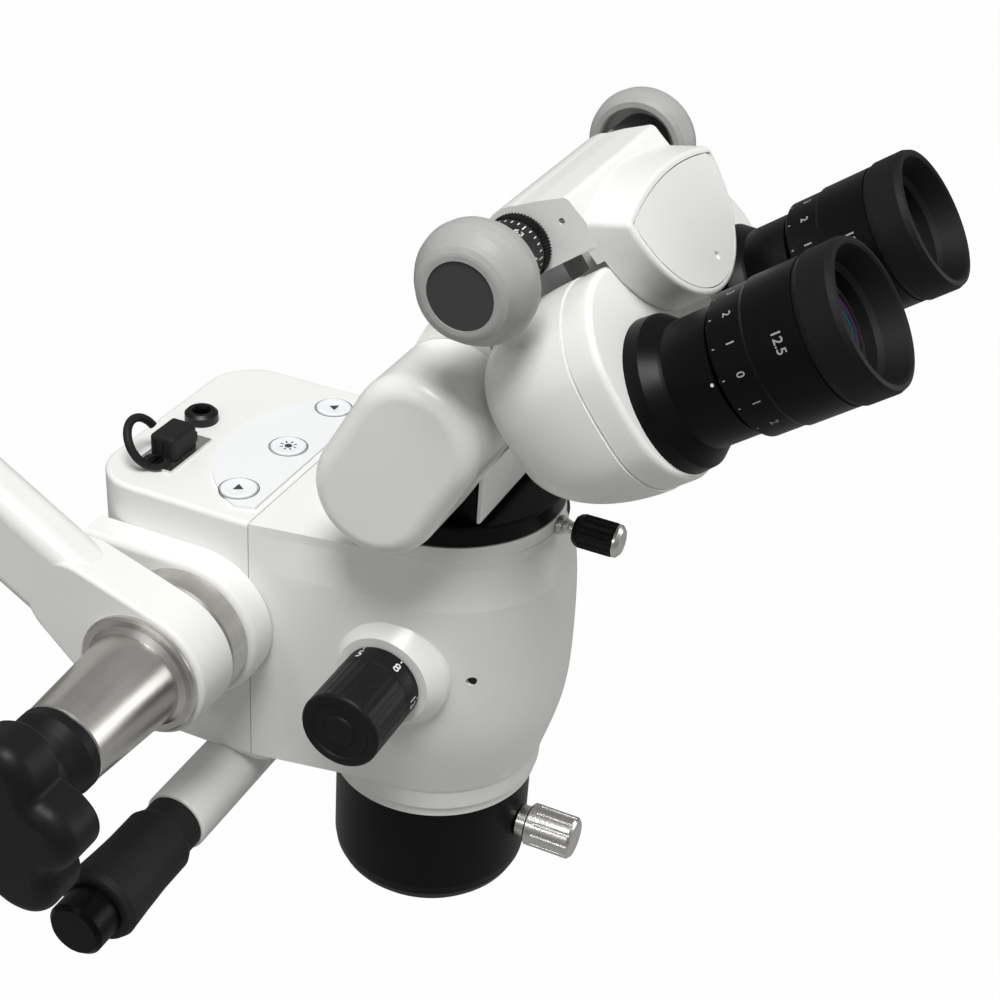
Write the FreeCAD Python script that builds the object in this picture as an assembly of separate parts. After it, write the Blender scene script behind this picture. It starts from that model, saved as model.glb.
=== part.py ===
import FreeCAD, Part
import math
import os

Vector = FreeCAD.Vector
Placement = FreeCAD.Placement
Rotation = FreeCAD.Rotation

# Head of a surgical microscope: optics body, inclinable binocular, yoke arm.
# Millimetres. The origin is the centre of the objective cup's mouth, on the optical axis.
# +Z goes up the optical axis, the user sits at -Y, and the yoke arm is at -X.

# Clearances and general walls
running_gap = 0.05
slip_gap = 0.3
face_gap = 0.4
wall = 3.0

# Optics body: outline seen from above is a half circle in front and straight sides behind
body_half_width = 45.4
seam_y = 46.0
belly_insets = {57.0: 8.4, 62.0: 7.0, 70.0: 4.8, 80.0: 2.7, 96.0: 1.7, 114.0: 2.0, 131.6: 3.5}
shoulder_top_z = 144.0
shoulder_over_neck = 0.2
shoulder_room_inset = 3.0
shoulder_room_over_neck = 2.2
neck_radius = 37.4
neck_top_z = 152.0
neck_recess_radius = 33.4
neck_recess_depth = 5.0
lower_neck_radius = 36.2
lower_neck_bottom_z = 44.4
cavity_bottom_z = 62.0
cavity_top_z = 140.0
light_bore_radius = 22.0
housing_screw_radius = 1.5

# Electronics box behind the body
box_length = 60.0
box_bottom_z = 57.0
box_top_z = 147.3
box_wall = 2.6
box_corner_radius = 17.0
box_edge_radius = 1.6
bottom_plate_thickness = 2.4

# Control panel on the top of the box
panel_side_margin = 5.9
panel_half_width = round(body_half_width - panel_side_margin, 6)
panel_front_inset = 2.2
panel_depth = 31.0
panel_thickness = 1.0
button_side_margin = 9.0
button_pitch = round(panel_half_width - button_side_margin, 6)
button_y = 58.2
button_radius = 5.8
button_travel = 0.8
button_stem_radius = 3.0
button_proud = 0.6
board_thickness = 1.6
board_gap = 1.1

# Power jack and spare port on the top of the box
jack_x = 2.2
jack_y = 92.8
jack_radius = 5.6
jack_bore_radius = 2.8
jack_height = 3.9
port_x = -20.4
port_y = 88.8
port_width = 9.6
port_depth = 6.0
port_plate_width = 24.0
port_plate_length = 13.4
plug_height = 7.6
strap_radius = 11.0
strap_thickness = 1.4

# Tilt joint of the whole head, in the yoke at the left side
tilt_y = 62.0
tilt_z = 109.0
axle_radius = 7.0
side_boss_radius = 24.4
side_boss_thickness = 10.4
side_boss_end_y = 100.0
friction_ring_radius = 21.8
friction_ring_width = 8.4
washer_thickness = 1.0
hub_radius = 22.2
hub_width = 16.4
arm_rise_degrees = 31.0
arm_height = 31.0
arm_width = 16.4
arm_reach = 162.0
arm_elbow_radius = 46.0
arm_edge_radius = 6.0
spigot_radius = 10.0
spigot_length = 42.0
spigot_boss_radius = 19.0
spigot_boss_height = 40.0

# Tension cone and star knob on the tilt axle
flange_radius = 20.3
flange_thickness = 2.2
cone_base_radius = 15.9
cone_tip_radius = 13.8
cone_length = 37.2
star_collar_radius = 14.1
star_collar_length = 23.4
star_radius = 30.8
star_waist_radius = 24.4
star_neck_radius = 11.8
star_lobes = 6
star_turn_degrees = 52.3
star_thickness = 15.0

# Magnification changer
drum_y = -2.3
drum_z = 106.6
drum_radius = 24.0
drum_half_length = 25.0
trunnion_radius = 6.0
knob_boss_radius = 16.5
knob_boss_proud = 1.8
knob_boss_reach = round(body_half_width + knob_boss_proud, 6)
knob_radius = 12.8
knob_length = 27.6
channel_offset = 12.0
channel_radius = 8.5
lens_radius = 8.4
lens_thickness = 2.5

# Objective cup, sliding cell, rack and pinion
cup_radius = 33.8
cup_straight_z = 11.0
mouth_outer_radius = 23.6
mouth_radius = 21.5
mouth_length = 4.0
cell_radius = 27.0
cell_bottom_z = 9.0
cell_top_z = 36.0
cell_bore_radius = 23.0
objective_radius = 22.9
focus_z = 26.0
rack_module = 0.6
pinion_teeth = 10
focus_teeth_travel = 2
pinion_length = 4.0
focus_shaft_radius = 2.0
focus_collar_radius = 5.6
focus_knob_radius = 7.4
focus_knob_length = 17.0
focus_flutes = 12

# Lamp, condenser and folding prism
lamp_z = 75.0
lamp_radius = 11.0
condenser_radius = 10.0
prism_size = 12.0
heat_sink_fins = 9
heat_sink_height = 44.0
heat_sink_depth = 16.0

# Handles under the box
handle_y = 57.8
handle_z = 44.2
handle_tube_radius = 10.9
handle_tube_end = 73.5
handle_neck_radius = 9.9
handle_neck_length = 7.0
grip_radius = 13.1
grip_waist_radius = 11.9
grip_length = 36.5
end_knob_radius = 9.4
end_knob_length = 11.0

# Binocular base on the dovetail
ring_inset = 0.2
ring_radius = round(neck_radius - ring_inset, 6)
ring_height = 6.4
dovetail_top_radius = 30.0
dovetail_foot_radius = 32.6
base_half_width = 28.0
base_block_height = 12.0
apron_half_width = 30.0
apron_y = -24.0
apron_thickness = 1.2
apron_bottom_z = 161.0
apron_top_z = 177.4
apron_flange_y = -21.1
clamp_z = 148.9
clamp_stem_radius = 2.0
clamp_knob_radius = 5.4
clamp_knob_length = 13.4
clamp_knob_gap = 6.0
clamp_knob_start = round(neck_radius + clamp_knob_gap, 6)

# Swing link between the two binocular hinges
link_y = -2.6
link_z = 179.0
link_length = 22.8
link_lean_degrees = 28.8
pod_radius = 19.5
pod_outer_x = 60.0
pod_inner_x = 30.3
pod_edge_radius = 6.0
knuckle_half_width = 14.6
knuckle_radius = 18.2
hinge_shaft_radius = 4.0
lug_radius = 18.3

# Upper binocular head, in its own view frame: z towards the eye, y up across the view
view_elevation = 37.1
pivot_to_rim = 124.9
pivot_height = 20.9
ipd = 71.0
ipd_minimum = 60.0
ipd_maximum = 78.0
bell_radius = 27.0
bell_low = 1.5
bell_rise = 11.5
bell_front = -59.5
bell_back = -104.0
bell_inner = 24.0
bell_edge_radius = 13.0
pd_height = 52.8
pd_depth = -78.6
shoulder_radius = 10.8
shoulder_half_length = 33.0
shaft_radius = 3.5
dial_radius = 8.9
dial_end_x = 60.4
cap_radius = 16.8
cap_start_x = 54.2
cap_mouth_radius = 11.7
cap_end_radius = 10.6
cap_disc_radius = 9.3
hub_core_radius = 6.5
cap_end_x = 70.5
cover_radius = 33.0
cover_height = 46.5
cover_side_top = 45.8
cover_slope = 0.5
cover_front = -47.5
cover_back = -61.8
cover_rim = 2.0
cover_lid_thickness = 2.4
cover_crown = 4.6
cover_corner_radius = 4.0
cover_screw_rise = 21.7
slot_roof = 43.7
step_z = -58.2
block_back = -90.0
head_block_half_width = 30.0
nut_slot_inner = 9.0
nut_slot_outer = 30.5

# Eyepieces, in the same view frame
flange_base_radius = 21.9
tube_radius = 17.8
tube_neck_back = -50.7
barrel_radius = 19.7
barrel_back = -36.0
barrel_front = -11.0
eyecup_radius = 20.7
eyecup_bore = 16.4
eye_lens_radius = 15.0
tube_bore = 14.4


# Values worked out from the dimensions above
body_front_radii = {z: round(body_half_width - inset, 6) for z, inset in belly_insets.items()}
belly_top_z = max(body_front_radii)
shoulder_top_radius = round(neck_radius + shoulder_over_neck, 6)
shoulder_radii = {belly_top_z: body_front_radii[belly_top_z], shoulder_top_z: shoulder_top_radius}
shoulder_room_bottom_z = round(belly_top_z - 0.6, 6)
shoulder_room_radii = {
    shoulder_room_bottom_z: round(body_half_width - shoulder_room_inset, 6),
    cavity_top_z: round(neck_radius + shoulder_room_over_neck, 6),
}
seam_end_y = seam_y + box_length
friction_face_x = body_half_width + side_boss_thickness
washer_face_x = friction_face_x + friction_ring_width
hub_inner_x = washer_face_x + washer_thickness + running_gap
hub_outer_x = hub_inner_x + hub_width
cone_face_x = hub_outer_x + flange_thickness
cone_tip_x = cone_face_x + cone_length
star_face_x = cone_tip_x + running_gap + star_collar_length
link_lean = math.radians(link_lean_degrees)
upper_y = link_y - link_length * math.sin(link_lean)
upper_z = link_z + link_length * math.cos(link_lean)
view_turn = Rotation(Vector(1, 0, 0), 90.0 - view_elevation)
to_eye = view_turn.multVec(Vector(0, 0, 1))
across = view_turn.multVec(Vector(0, 1, 0))
rim_centre = Vector(0, upper_y, upper_z) + to_eye * pivot_to_rim - across * pivot_height
view_frame = Placement(rim_centre, view_turn)
half_ipd = ipd / 2.0
rack_pitch = math.pi * rack_module
pinion_pitch_radius = rack_module * pinion_teeth / 2.0
box_inner_top = box_top_z - box_wall
ring_bottom_z = neck_top_z + face_gap
ring_top_z = ring_bottom_z + ring_height
button_rest_z = box_top_z + panel_thickness + button_proud


def cyl_x(radius, x_from, x_to, y, z):
    low, high = sorted((x_from, x_to))
    return Part.makeCylinder(radius, high - low, Vector(low, y, z), Vector(1, 0, 0))


def cyl_y(radius, y_from, y_to, x, z):
    low, high = sorted((y_from, y_to))
    return Part.makeCylinder(radius, high - low, Vector(x, low, z), Vector(0, 1, 0))


def cyl_z(radius, z_from, z_to, x=0.0, y=0.0):
    low, high = sorted((z_from, z_to))
    return Part.makeCylinder(radius, high - low, Vector(x, y, low), Vector(0, 0, 1))


def box_between(x_range, y_range, z_range):
    low = Vector(min(x_range), min(y_range), min(z_range))
    high = Vector(max(x_range), max(y_range), max(z_range))
    size = high - low
    return Part.makeBox(size.x, size.y, size.z, low)


def lathe(profile, base, axis_end):
    """Solid turned from (radius, distance) points about the line from base to axis_end."""
    direction = (axis_end - base).normalize()
    side = Vector(1, 0, 0) if abs(direction.x) < 0.9 else Vector(0, 1, 0)
    side = (side - direction * side.dot(direction)).normalize()
    points = [base + side * radius + direction * along for radius, along in profile]
    face = Part.Face(Part.makePolygon(points + [points[0]]))
    return face.revolve(base, direction, 360)


def lathe_z(profile, x=0.0, y=0.0):
    return lathe(profile, Vector(x, y, 0), Vector(x, y, 1))


def lathe_x(profile, y, z, sign=1):
    return lathe(profile, Vector(0, y, z), Vector(sign, y, z))


def prism_x(points, x_from, x_to):
    """Prism along X of a closed outline of (y, z) points."""
    outline = [Vector(x_from, y, z) for y, z in points]
    return Part.Face(Part.makePolygon(outline + [outline[0]])).extrude(Vector(x_to - x_from, 0, 0))


def hull_outline(first, first_radius, second, second_radius, normal):
    """Wire round two circles and their outer tangents, in the plane of normal."""
    line = second - first
    distance = line.Length
    along = line * (1.0 / distance)
    side = normal.cross(along)
    lean = math.asin((first_radius - second_radius) / distance)

    def rim(centre, radius, angle):
        return centre + along * (radius * math.sin(angle)) + side * (radius * math.cos(angle))

    a = rim(first, first_radius, lean)
    b = rim(second, second_radius, lean)
    c = rim(second, second_radius, math.pi - lean)
    d = rim(first, first_radius, math.pi - lean)
    nose = second + along * second_radius
    tail = first - along * first_radius
    edges = [
        Part.makeLine(a, b),
        Part.Arc(b, nose, c).toShape(),
        Part.makeLine(c, d),
        Part.Arc(d, tail, a).toShape(),
    ]
    return Part.Wire(edges)


def hull_prism(first, first_radius, second, second_radius, reach):
    """Prism of the outline round two circles, pushed along the vector reach."""
    normal = Vector(reach).normalize()
    return Part.Face(hull_outline(first, first_radius, second, second_radius, normal)).extrude(reach)


def edges_where(shape, test):
    return [edge for edge in shape.Edges if test(edge)]


def edges_in_plane(shape, axis, value, tolerance=0.02):
    """Edges that lie whole in the plane where the named coordinate has the value."""
    low, high = axis + "Min", axis + "Max"

    def flat(edge):
        box = edge.BoundBox
        return abs(getattr(box, low) - value) < tolerance and abs(getattr(box, high) - value) < tolerance

    return edges_where(shape, flat)


def in_view(shape):
    """Turn a shape drawn in the view frame into the row frame."""
    copy = shape.copy()
    copy.Placement = view_frame.multiply(copy.Placement)
    return copy


def group(shapes):
    return Part.makeCompound(shapes)


# Optics body
def body_section(z, front_radius, inset):
    """Closed outline at height z: half circle in front, sides that widen to the seam."""
    half = body_half_width - inset
    radius = front_radius - inset
    left_rear = Vector(-half, seam_y, z)
    left = Vector(-radius, 0, z)
    front = Vector(0, -radius, z)
    right = Vector(radius, 0, z)
    right_rear = Vector(half, seam_y, z)
    return Part.Wire([
        Part.makeLine(left_rear, left),
        Part.Arc(left, front, right).toShape(),
        Part.makeLine(right, right_rear),
        Part.makeLine(right_rear, left_rear),
    ])


def radius_between(stations, z):
    """Front radius at height z, straight between the named stations."""
    stations = sorted(stations.items())
    for (z_low, r_low), (z_high, r_high) in zip(stations, stations[1:]):
        if z <= z_high:
            return r_low + (r_high - r_low) * (z - z_low) / (z_high - z_low)
    return stations[-1][1]


def body_loft(stations, heights, inset, straight):
    sections = [body_section(z, radius_between(stations, z), inset) for z in heights]
    return Part.makeLoft(sections, True, straight)


def body_shape():
    """Bulging belly, conical shoulder and the flat top that runs back to the box."""
    belly = body_loft(body_front_radii, sorted(body_front_radii), 0.0, False)
    shoulder = body_loft(shoulder_radii, sorted(shoulder_radii), 0.0, True)
    high = max(shoulder_radii)
    top_radius = shoulder_radii[high]
    top = body_loft({high: top_radius, box_top_z: top_radius}, [high, box_top_z], 0.0, True)
    return belly.fuse([shoulder, top])


def front_housing():
    """Moulded front casing: bulging belly, neck rings and the round bosses of the knobs."""
    low = min(body_front_radii)
    neck_profile = [(0, box_top_z - 9.0), (neck_radius, box_top_z - 9.0), (neck_radius, neck_top_z), (0, neck_top_z)]
    bead = 0.6
    foot = lower_neck_bottom_z
    foot_profile = [
        (0, foot), (lower_neck_radius - 1.6, foot), (lower_neck_radius - 1.0, foot + 0.6),
        (lower_neck_radius - 1.0, foot + 3.4), (lower_neck_radius - 1.0 - bead, foot + 3.9),
        (lower_neck_radius, foot + 4.6), (lower_neck_radius + 0.3, low + 1.0), (0, low + 1.0),
    ]
    shell = body_shape().fuse([lathe_z(neck_profile), lathe_z(foot_profile)])
    for sign in (-1, 1):
        shell = shell.fuse(knob_boss(sign))
    cavity = body_loft(body_front_radii, [cavity_bottom_z, 80.0, 96.0, 114.0, 131.0], wall, False)
    upper_cavity = body_loft(shoulder_room_radii, [shoulder_room_bottom_z, cavity_top_z], wall, True)
    half = body_half_width - wall
    cuts = [
        cavity, upper_cavity,
        box_between((-half, half), (seam_y - 6.0, seam_y + 1.0), (cavity_bottom_z, cavity_top_z)),
        cyl_z(light_bore_radius, cavity_top_z - 1.0, neck_top_z + 1.0),
        cyl_z(neck_recess_radius, neck_top_z - neck_recess_depth, neck_top_z + 1.0),
        cyl_z(light_bore_radius + 6.0, lower_neck_bottom_z - 1.0, cavity_bottom_z + 1.0),
        cyl_x(trunnion_radius + running_gap, -60.0, 60.0, drum_y, drum_z),
        cyl_y(clamp_stem_radius + running_gap, -neck_radius - 2.0, -neck_recess_radius + 2.0, 0.0, clamp_z),
    ]
    cuts += [set_screw_hole(sign) for sign in (-1, 1)]
    return shell.cut(cuts).removeSplitter()


def knob_boss(sign):
    profile = [
        (0, 30.0), (knob_boss_radius + 2.6, 30.0), (knob_boss_radius + 2.6, body_half_width - 3.4),
        (knob_boss_radius, knob_boss_reach - 1.6), (knob_boss_radius - 1.2, knob_boss_reach),
        (0, knob_boss_reach),
    ]
    return lathe_x(profile, drum_y, drum_z, sign)


set_screw_place = (-26.5, 107.0)


def set_screw_hole(sign):
    y, z = set_screw_place
    return cyl_x(housing_screw_radius, sign * 20.0, sign * 60.0, y, z)


def set_screws():
    """Small black grub screws, sunk in the body's two sides."""
    y, z = set_screw_place
    radius = housing_screw_radius - running_gap
    return [cyl_x(radius, sign * 31.5, sign * 34.0, y, z) for sign in (-1, 1)]


def control_slots(top, bottom, radius):
    return [cyl_z(radius, bottom, top, x, button_y) for x in (-button_pitch, 0.0, button_pitch)]


def rear_housing():
    """Box behind the optics body, open in front and below, with the panel's holes on top."""
    outer = box_between((-body_half_width, body_half_width), (seam_y, seam_end_y), (box_bottom_z, box_top_z))

    def is_rear_corner(edge):
        box = edge.BoundBox
        return box.ZLength > 50 and box.YMin > seam_end_y - 0.1

    outer = outer.makeFillet(box_corner_radius, edges_where(outer, is_rear_corner))
    rims = [edge for edge in edges_in_plane(outer, "Z", box_top_z) if edge.BoundBox.YMax > seam_y + 0.1]
    outer = outer.makeFillet(box_edge_radius, rims)
    inner = box_between(
        (-body_half_width + box_wall, body_half_width - box_wall),
        (seam_y - 1.0, seam_end_y - box_wall),
        (box_bottom_z - 1.0, box_inner_top),
    )

    def is_inner_corner(edge):
        box = edge.BoundBox
        return box.ZLength > 50 and box.YMin > seam_end_y - box_wall - 0.1

    inner = inner.makeFillet(box_corner_radius - box_wall, edges_where(inner, is_inner_corner))
    cuts = [inner]
    cuts += control_slots(box_top_z + 1.0, box_top_z - 1.4, button_radius + 0.4)
    cuts += control_slots(box_top_z, box_inner_top - 1.0, button_stem_radius + running_gap)
    cuts += [cyl_z(1.05, box_inner_top - 1.0, box_top_z + 1.0, x, port_y) for x in port_screw_places()]
    cuts += [
        cyl_z(jack_radius - 1.6, box_inner_top - 1.0, box_top_z + 1.0, jack_x, jack_y),
        port_hole(box_inner_top - 1.0, box_top_z + 1.0, 1.0),
        cyl_x(axle_radius, -body_half_width - 1.0, -body_half_width + box_wall + 1.0, tilt_y, tilt_z),
    ]
    return outer.cut(cuts)


def port_hole(z_from, z_to, margin):
    half_w, half_d = port_width / 2.0 + margin, port_depth / 2.0 + margin
    return box_between((port_x - half_w, port_x + half_w), (port_y - half_d, port_y + half_d), (z_from, z_to))


def panel_outline(z):
    front_y = seam_y + panel_front_inset
    corner = 6.0
    left = Vector(-panel_half_width, front_y + corner, z)
    right = Vector(panel_half_width, front_y + corner, z)
    rear = Vector(0, front_y + panel_depth, z)
    left_front = Vector(-panel_half_width + 2.0, front_y, z)
    right_front = Vector(panel_half_width - 2.0, front_y, z)
    return Part.Wire([
        Part.Arc(left, rear, right).toShape(),
        Part.makeLine(right, right_front),
        Part.makeLine(right_front, left_front),
        Part.makeLine(left_front, left),
    ])


def control_panel():
    """Lens-shaped membrane with three round windows for the buttons."""
    sheet = Part.Face(panel_outline(box_top_z)).extrude(Vector(0, 0, panel_thickness))
    return sheet.cut(control_slots(box_top_z + 2.0, box_top_z - 1.0, button_radius + 0.2))


def push_button(x):
    """Flat key with a shallow dished top on a stem that reaches its switch."""
    cap_bottom = box_top_z - 0.2
    key = cyl_z(button_radius, cap_bottom, button_rest_z, x, button_y)
    key = key.makeFillet(0.5, edges_in_plane(key, "Z", button_rest_z))
    dish_radius = 30.0
    dish = Part.makeSphere(dish_radius, Vector(x, button_y, button_rest_z + dish_radius - 0.35))
    stem = cyl_z(button_stem_radius, switch_top_z() + button_travel + 0.2, cap_bottom, x, button_y)
    return key.fuse(stem).cut(dish)


def switch_top_z():
    return box_inner_top - board_gap - 1.2


def control_board():
    """Circuit board under the panel, with one switch under each button."""
    top = box_inner_top - board_gap - 3.4
    board = box_between((-38.0, 38.0), (seam_y + 5.0, seam_y + 20.0), (top - board_thickness, top))
    switches = [
        box_between((x - 3.0, x + 3.0), (button_y - 3.0, button_y + 3.0), (top, switch_top_z()))
        for x in (-button_pitch, 0.0, button_pitch)
    ]
    posts = [
        cyl_z(2.0, top, box_inner_top, x, seam_y + 7.5) for x in (-button_pitch / 2.0, button_pitch / 2.0)
    ]
    return board.fuse(switches + posts)


def bottom_plate():
    """Plate under the box, with the saddle that the handle tubes are clamped in."""
    top = box_bottom_z - running_gap
    bottom = top - bottom_plate_thickness
    plate = box_between((-body_half_width + 1.2, body_half_width - 1.2), (seam_y - 7.0, seam_end_y - 8.0),
                        (bottom, top))

    def is_corner(edge):
        return edge.BoundBox.ZLength > 1.0 and edge.BoundBox.XLength < 0.1 and edge.BoundBox.YLength < 0.1

    plate = plate.makeFillet(6.0, edges_where(plate, is_corner))
    saddle = box_between((-34.0, 34.0), (handle_y - 12.0, handle_y + 12.0), (handle_z, bottom + 0.5))
    bore = cyl_x(handle_tube_radius + running_gap, -50.0, 50.0, handle_y, handle_z)
    clear = lathe_z([(0, 0), (lower_neck_radius + 4.0, 0), (lower_neck_radius + 4.0, 90), (0, 90)])
    holes = [cyl_z(1.6, bottom - 1.0, top + 1.0, x, y) for x, y in plate_screw_places()]
    return plate.fuse(saddle).cut([bore, clear] + holes)


def plate_screw_places():
    near_y = handle_y + handle_tube_radius + 6.0
    return [(x, y) for x in (-36.0, 36.0) for y in (near_y, seam_end_y - 14.0)]


def housing_screws():
    """Screws of the bottom plate and of the port plate, and the two grub screws."""
    solids = []
    plate_bottom = box_bottom_z - running_gap - bottom_plate_thickness
    for x, y in plate_screw_places():
        head = cyl_z(2.9, plate_bottom - 1.8, plate_bottom, x, y)
        head = head.cut(cyl_z(1.2, plate_bottom - 2.0, plate_bottom - 0.8, x, y))
        solids.append(head.fuse(cyl_z(1.5, plate_bottom, box_bottom_z + 6.0, x, y)))
    top = box_top_z + 1.0
    for x in port_screw_places():
        head = cyl_z(2.1, top, top + 1.3, x, port_y)
        slot = box_between((x - 3.0, x + 3.0), (port_y - 0.3, port_y + 0.3), (top + 0.7, top + 2.0))
        solids.append(head.fuse(cyl_z(1.0, top - 3.0, top, x, port_y)).cut(slot))
    return group(solids + set_screws())


def port_screw_places():
    return [port_x - port_width / 2.0 - 5.2, port_x + port_width / 2.0 + 5.2]


def port_plate():
    half_w, half_l = port_plate_width / 2.0, port_plate_length / 2.0
    plate = box_between((port_x - half_w, port_x + half_w), (port_y - half_l, port_y + half_l),
                        (box_top_z, box_top_z + 1.0))
    holes = [cyl_z(1.05, box_top_z - 1.0, box_top_z + 2.0, x, port_y) for x in port_screw_places()]
    return plate.cut([port_hole(box_top_z - 1.0, box_top_z + 2.0, 0.4)] + holes)


def port_plug():
    """Rubber plug of the spare port: a block to grip and a stub in the hole."""
    low = box_top_z + 1.0 + slip_gap
    half_w, half_d = port_width / 2.0 + 2.0, port_depth / 2.0 + 1.6
    block = box_between((port_x - half_w, port_x + half_w), (port_y - half_d, port_y + half_d),
                        (low, low + plug_height))

    def is_top_or_side(edge):
        return edge.BoundBox.ZMax > low + plug_height - 0.1

    block = block.makeFillet(1.4, edges_where(block, is_top_or_side))
    stub = port_hole(box_inner_top - 4.0, low + 1.0, 0.0)
    ridges = [
        box_between((port_x - half_w - 0.5, port_x + half_w + 0.5), (port_y + dy - 0.5, port_y + dy + 0.5),
                    (low + 1.0, low + plug_height - 2.0))
        for dy in (-3.0, 0.0, 3.0)
    ]
    return block.fuse([stub] + ridges)


def strap_points():
    """Start, crown and end of the strap's loop, from behind the plug to its eye ring."""
    plug_top = box_top_z + 1.0 + slip_gap + plug_height
    start = Vector(port_x - 1.0, port_y + port_depth / 2.0 + 1.6 + slip_gap + strap_thickness + 0.6, plug_top - 0.5)
    crown = Vector(port_x - strap_radius * 1.15, port_y + strap_radius * 0.75, plug_top + 4.0)
    end = Vector(port_screw_places()[0] - 3.6, port_y + 1.0, box_top_z + 1.9)
    return start, crown, end


def plug_strap():
    """Rubber strap that keeps the plug: one arc of round section and an eye ring."""
    start, crown, end = strap_points()
    path = Part.Wire([Part.Arc(start, crown, end).toShape()])
    first = path.Edges[0]
    tangent = first.tangentAt(first.FirstParameter)
    section = Part.Wire([Part.makeCircle(strap_thickness, start, tangent)])
    band = path.makePipeShell([section], True, False)
    eye_x = port_screw_places()[0]
    low = box_top_z + 1.0 + running_gap
    ring = cyl_z(4.4, low, low + 1.2, eye_x, port_y).cut(cyl_z(2.5, low - 1.0, low + 3.0, eye_x, port_y))
    above_plate = box_between((-90.0, 0.0), (60.0, 130.0), (low, 200.0))
    plug_side = box_between((port_x - port_width / 2.0 - 2.8, 0.0), (60.0, port_y + port_depth / 2.0 + 2.0),
                            (140.0, 200.0))
    return band.fuse(ring).common(above_plate).cut(plug_side)


def power_jack():
    """Round power inlet: knurled nut, pale inner ring and a barrel inside the box."""
    nut = lathe_z([
        (jack_bore_radius, box_top_z), (jack_radius, box_top_z), (jack_radius, box_top_z + jack_height - 1.0),
        (jack_radius - 1.0, box_top_z + jack_height), (jack_radius - 2.4, box_top_z + jack_height),
        (jack_radius - 2.8, box_top_z + jack_height - 1.2), (jack_bore_radius, box_top_z + jack_height - 1.2),
    ], jack_x, jack_y)
    barrel_radius_inside = jack_radius - 1.6 - running_gap
    barrel = cyl_z(barrel_radius_inside, box_inner_top - 12.0, box_top_z, jack_x, jack_y)
    bore = cyl_z(jack_bore_radius, box_inner_top - 8.0, box_top_z + 1.0, jack_x, jack_y)
    contact = cyl_z(0.9, box_inner_top - 8.0, box_top_z, jack_x, jack_y)
    return nut.fuse(barrel).cut(bore).fuse(contact)


# Lamp and folding optics
def lamp_housing():
    """Light source: round lamp holder cast in one piece with its cooling fins."""
    back_y = seam_end_y - box_wall - running_gap
    front_y = lamp_front_y()
    half = 24.0
    low, high = lamp_z - 15.0, lamp_z - 15.0 + heat_sink_height
    base = box_between((-half, half), (front_y, front_y + 4.0), (low, high))
    pitch = (2.0 * half - 1.8) / (heat_sink_fins - 1)
    fins = []
    for index in range(heat_sink_fins):
        x = -half + 0.9 + index * pitch
        fins.append(box_between((x - 0.9, x + 0.9), (front_y + 3.5, back_y), (low, high)))
    holder = cyl_y(lamp_radius, front_y - 14.0, front_y + 1.0, 0.0, lamp_z)
    hollow = cyl_y(lamp_radius - 3.0, front_y - 15.0, front_y - 3.0, 0.0, lamp_z)
    seat = cyl_y(3.5, front_y - 5.0, front_y - 2.0, 0.0, lamp_z)
    corner_cuts = [rear_corner_clearance(sign, low, high) for sign in (-1, 1)]
    return base.fuse(fins + [holder]).cut([hollow] + corner_cuts).fuse(seat)


def lamp_front_y():
    return seam_end_y - box_wall - 3.0 - heat_sink_depth


def rear_corner_clearance(sign, low, high):
    """Room for the rounded rear corner of the box behind the outer fins."""
    return box_between((sign * 20.5, sign * 25.0), (seam_end_y - box_wall - 3.0, seam_end_y), (low, high))


def condenser_tube():
    """Tube that carries the light forward, on a foot with a seat for the folding prism."""
    tube_start, tube_end = seam_y - 6.0, lamp_front_y() - 14.0 - running_gap
    tube = cyl_y(condenser_radius, tube_start, tube_end, 0.0, lamp_z)
    bore = cyl_y(condenser_radius - 1.6, tube_start - 1.0, tube_end + 1.0, 0.0, lamp_z)
    front_y = tube_start - 0.5 - prism_size
    foot = box_between((-13.0, 13.0), (front_y, tube_end - 2.0), (cavity_bottom_z + running_gap, lamp_z - 5.0))
    half = prism_size / 2.0
    seat = box_between((-14.0, 14.0), (front_y - 1.0, tube_start - 0.4), (lamp_z - half - running_gap, lamp_z))
    window = box_between((-half + 1.0, half - 1.0), (front_y - 1.0, front_y + prism_size - 1.0), (0.0, lamp_z))
    return tube.fuse(foot).cut([bore, seat, window])


def illumination_optics():
    """Condenser lens in its tube, and the prism that folds the light down."""
    tube_start = seam_y - 6.0
    lens = cyl_y(condenser_radius - 1.6 - running_gap, tube_start + 4.0, tube_start + 8.0, 0.0, lamp_z)
    back = tube_start - 0.5
    half = prism_size / 2.0
    prism = prism_x([(back, lamp_z - half), (back, lamp_z + half), (back - prism_size, lamp_z - half)], -half, half)
    return group([lens, prism])


# Tilt joint
def side_boss():
    """Raised pad on the left wall: round about the tilt axis, straight edge to the rear."""
    inner_x = -body_half_width - running_gap
    outer_x = -friction_face_x
    first = Vector(inner_x, tilt_y, tilt_z)
    second = Vector(inner_x, side_boss_end_y - side_boss_radius, tilt_z)
    pad = hull_prism(first, side_boss_radius, second, side_boss_radius, Vector(outer_x - inner_x, 0, 0))
    square = box_between((inner_x, outer_x), (tilt_y, side_boss_end_y),
                         (tilt_z - side_boss_radius, tilt_z + side_boss_radius))
    pad = pad.fuse(square).removeSplitter()
    pad = pad.makeFillet(2.2, edges_in_plane(pad, "X", outer_x))
    return pad.cut(cyl_x(axle_radius, inner_x + 1.0, outer_x - 1.0, tilt_y, tilt_z))


def tilt_axle():
    """Steel axle from the box wall through ring, yoke hub and cone into the star knob."""
    inner_end = -body_half_width + box_wall
    shaft = cyl_x(axle_radius, inner_end, -cone_tip_x - 4.0, tilt_y, tilt_z)
    head = cyl_x(axle_radius + 4.0, inner_end, inner_end + 5.0, tilt_y, tilt_z)
    thread = cyl_x(axle_radius - 1.5, -cone_tip_x - 4.0, -star_face_x - 8.0, tilt_y, tilt_z)
    return shaft.fuse([head, thread])


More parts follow.
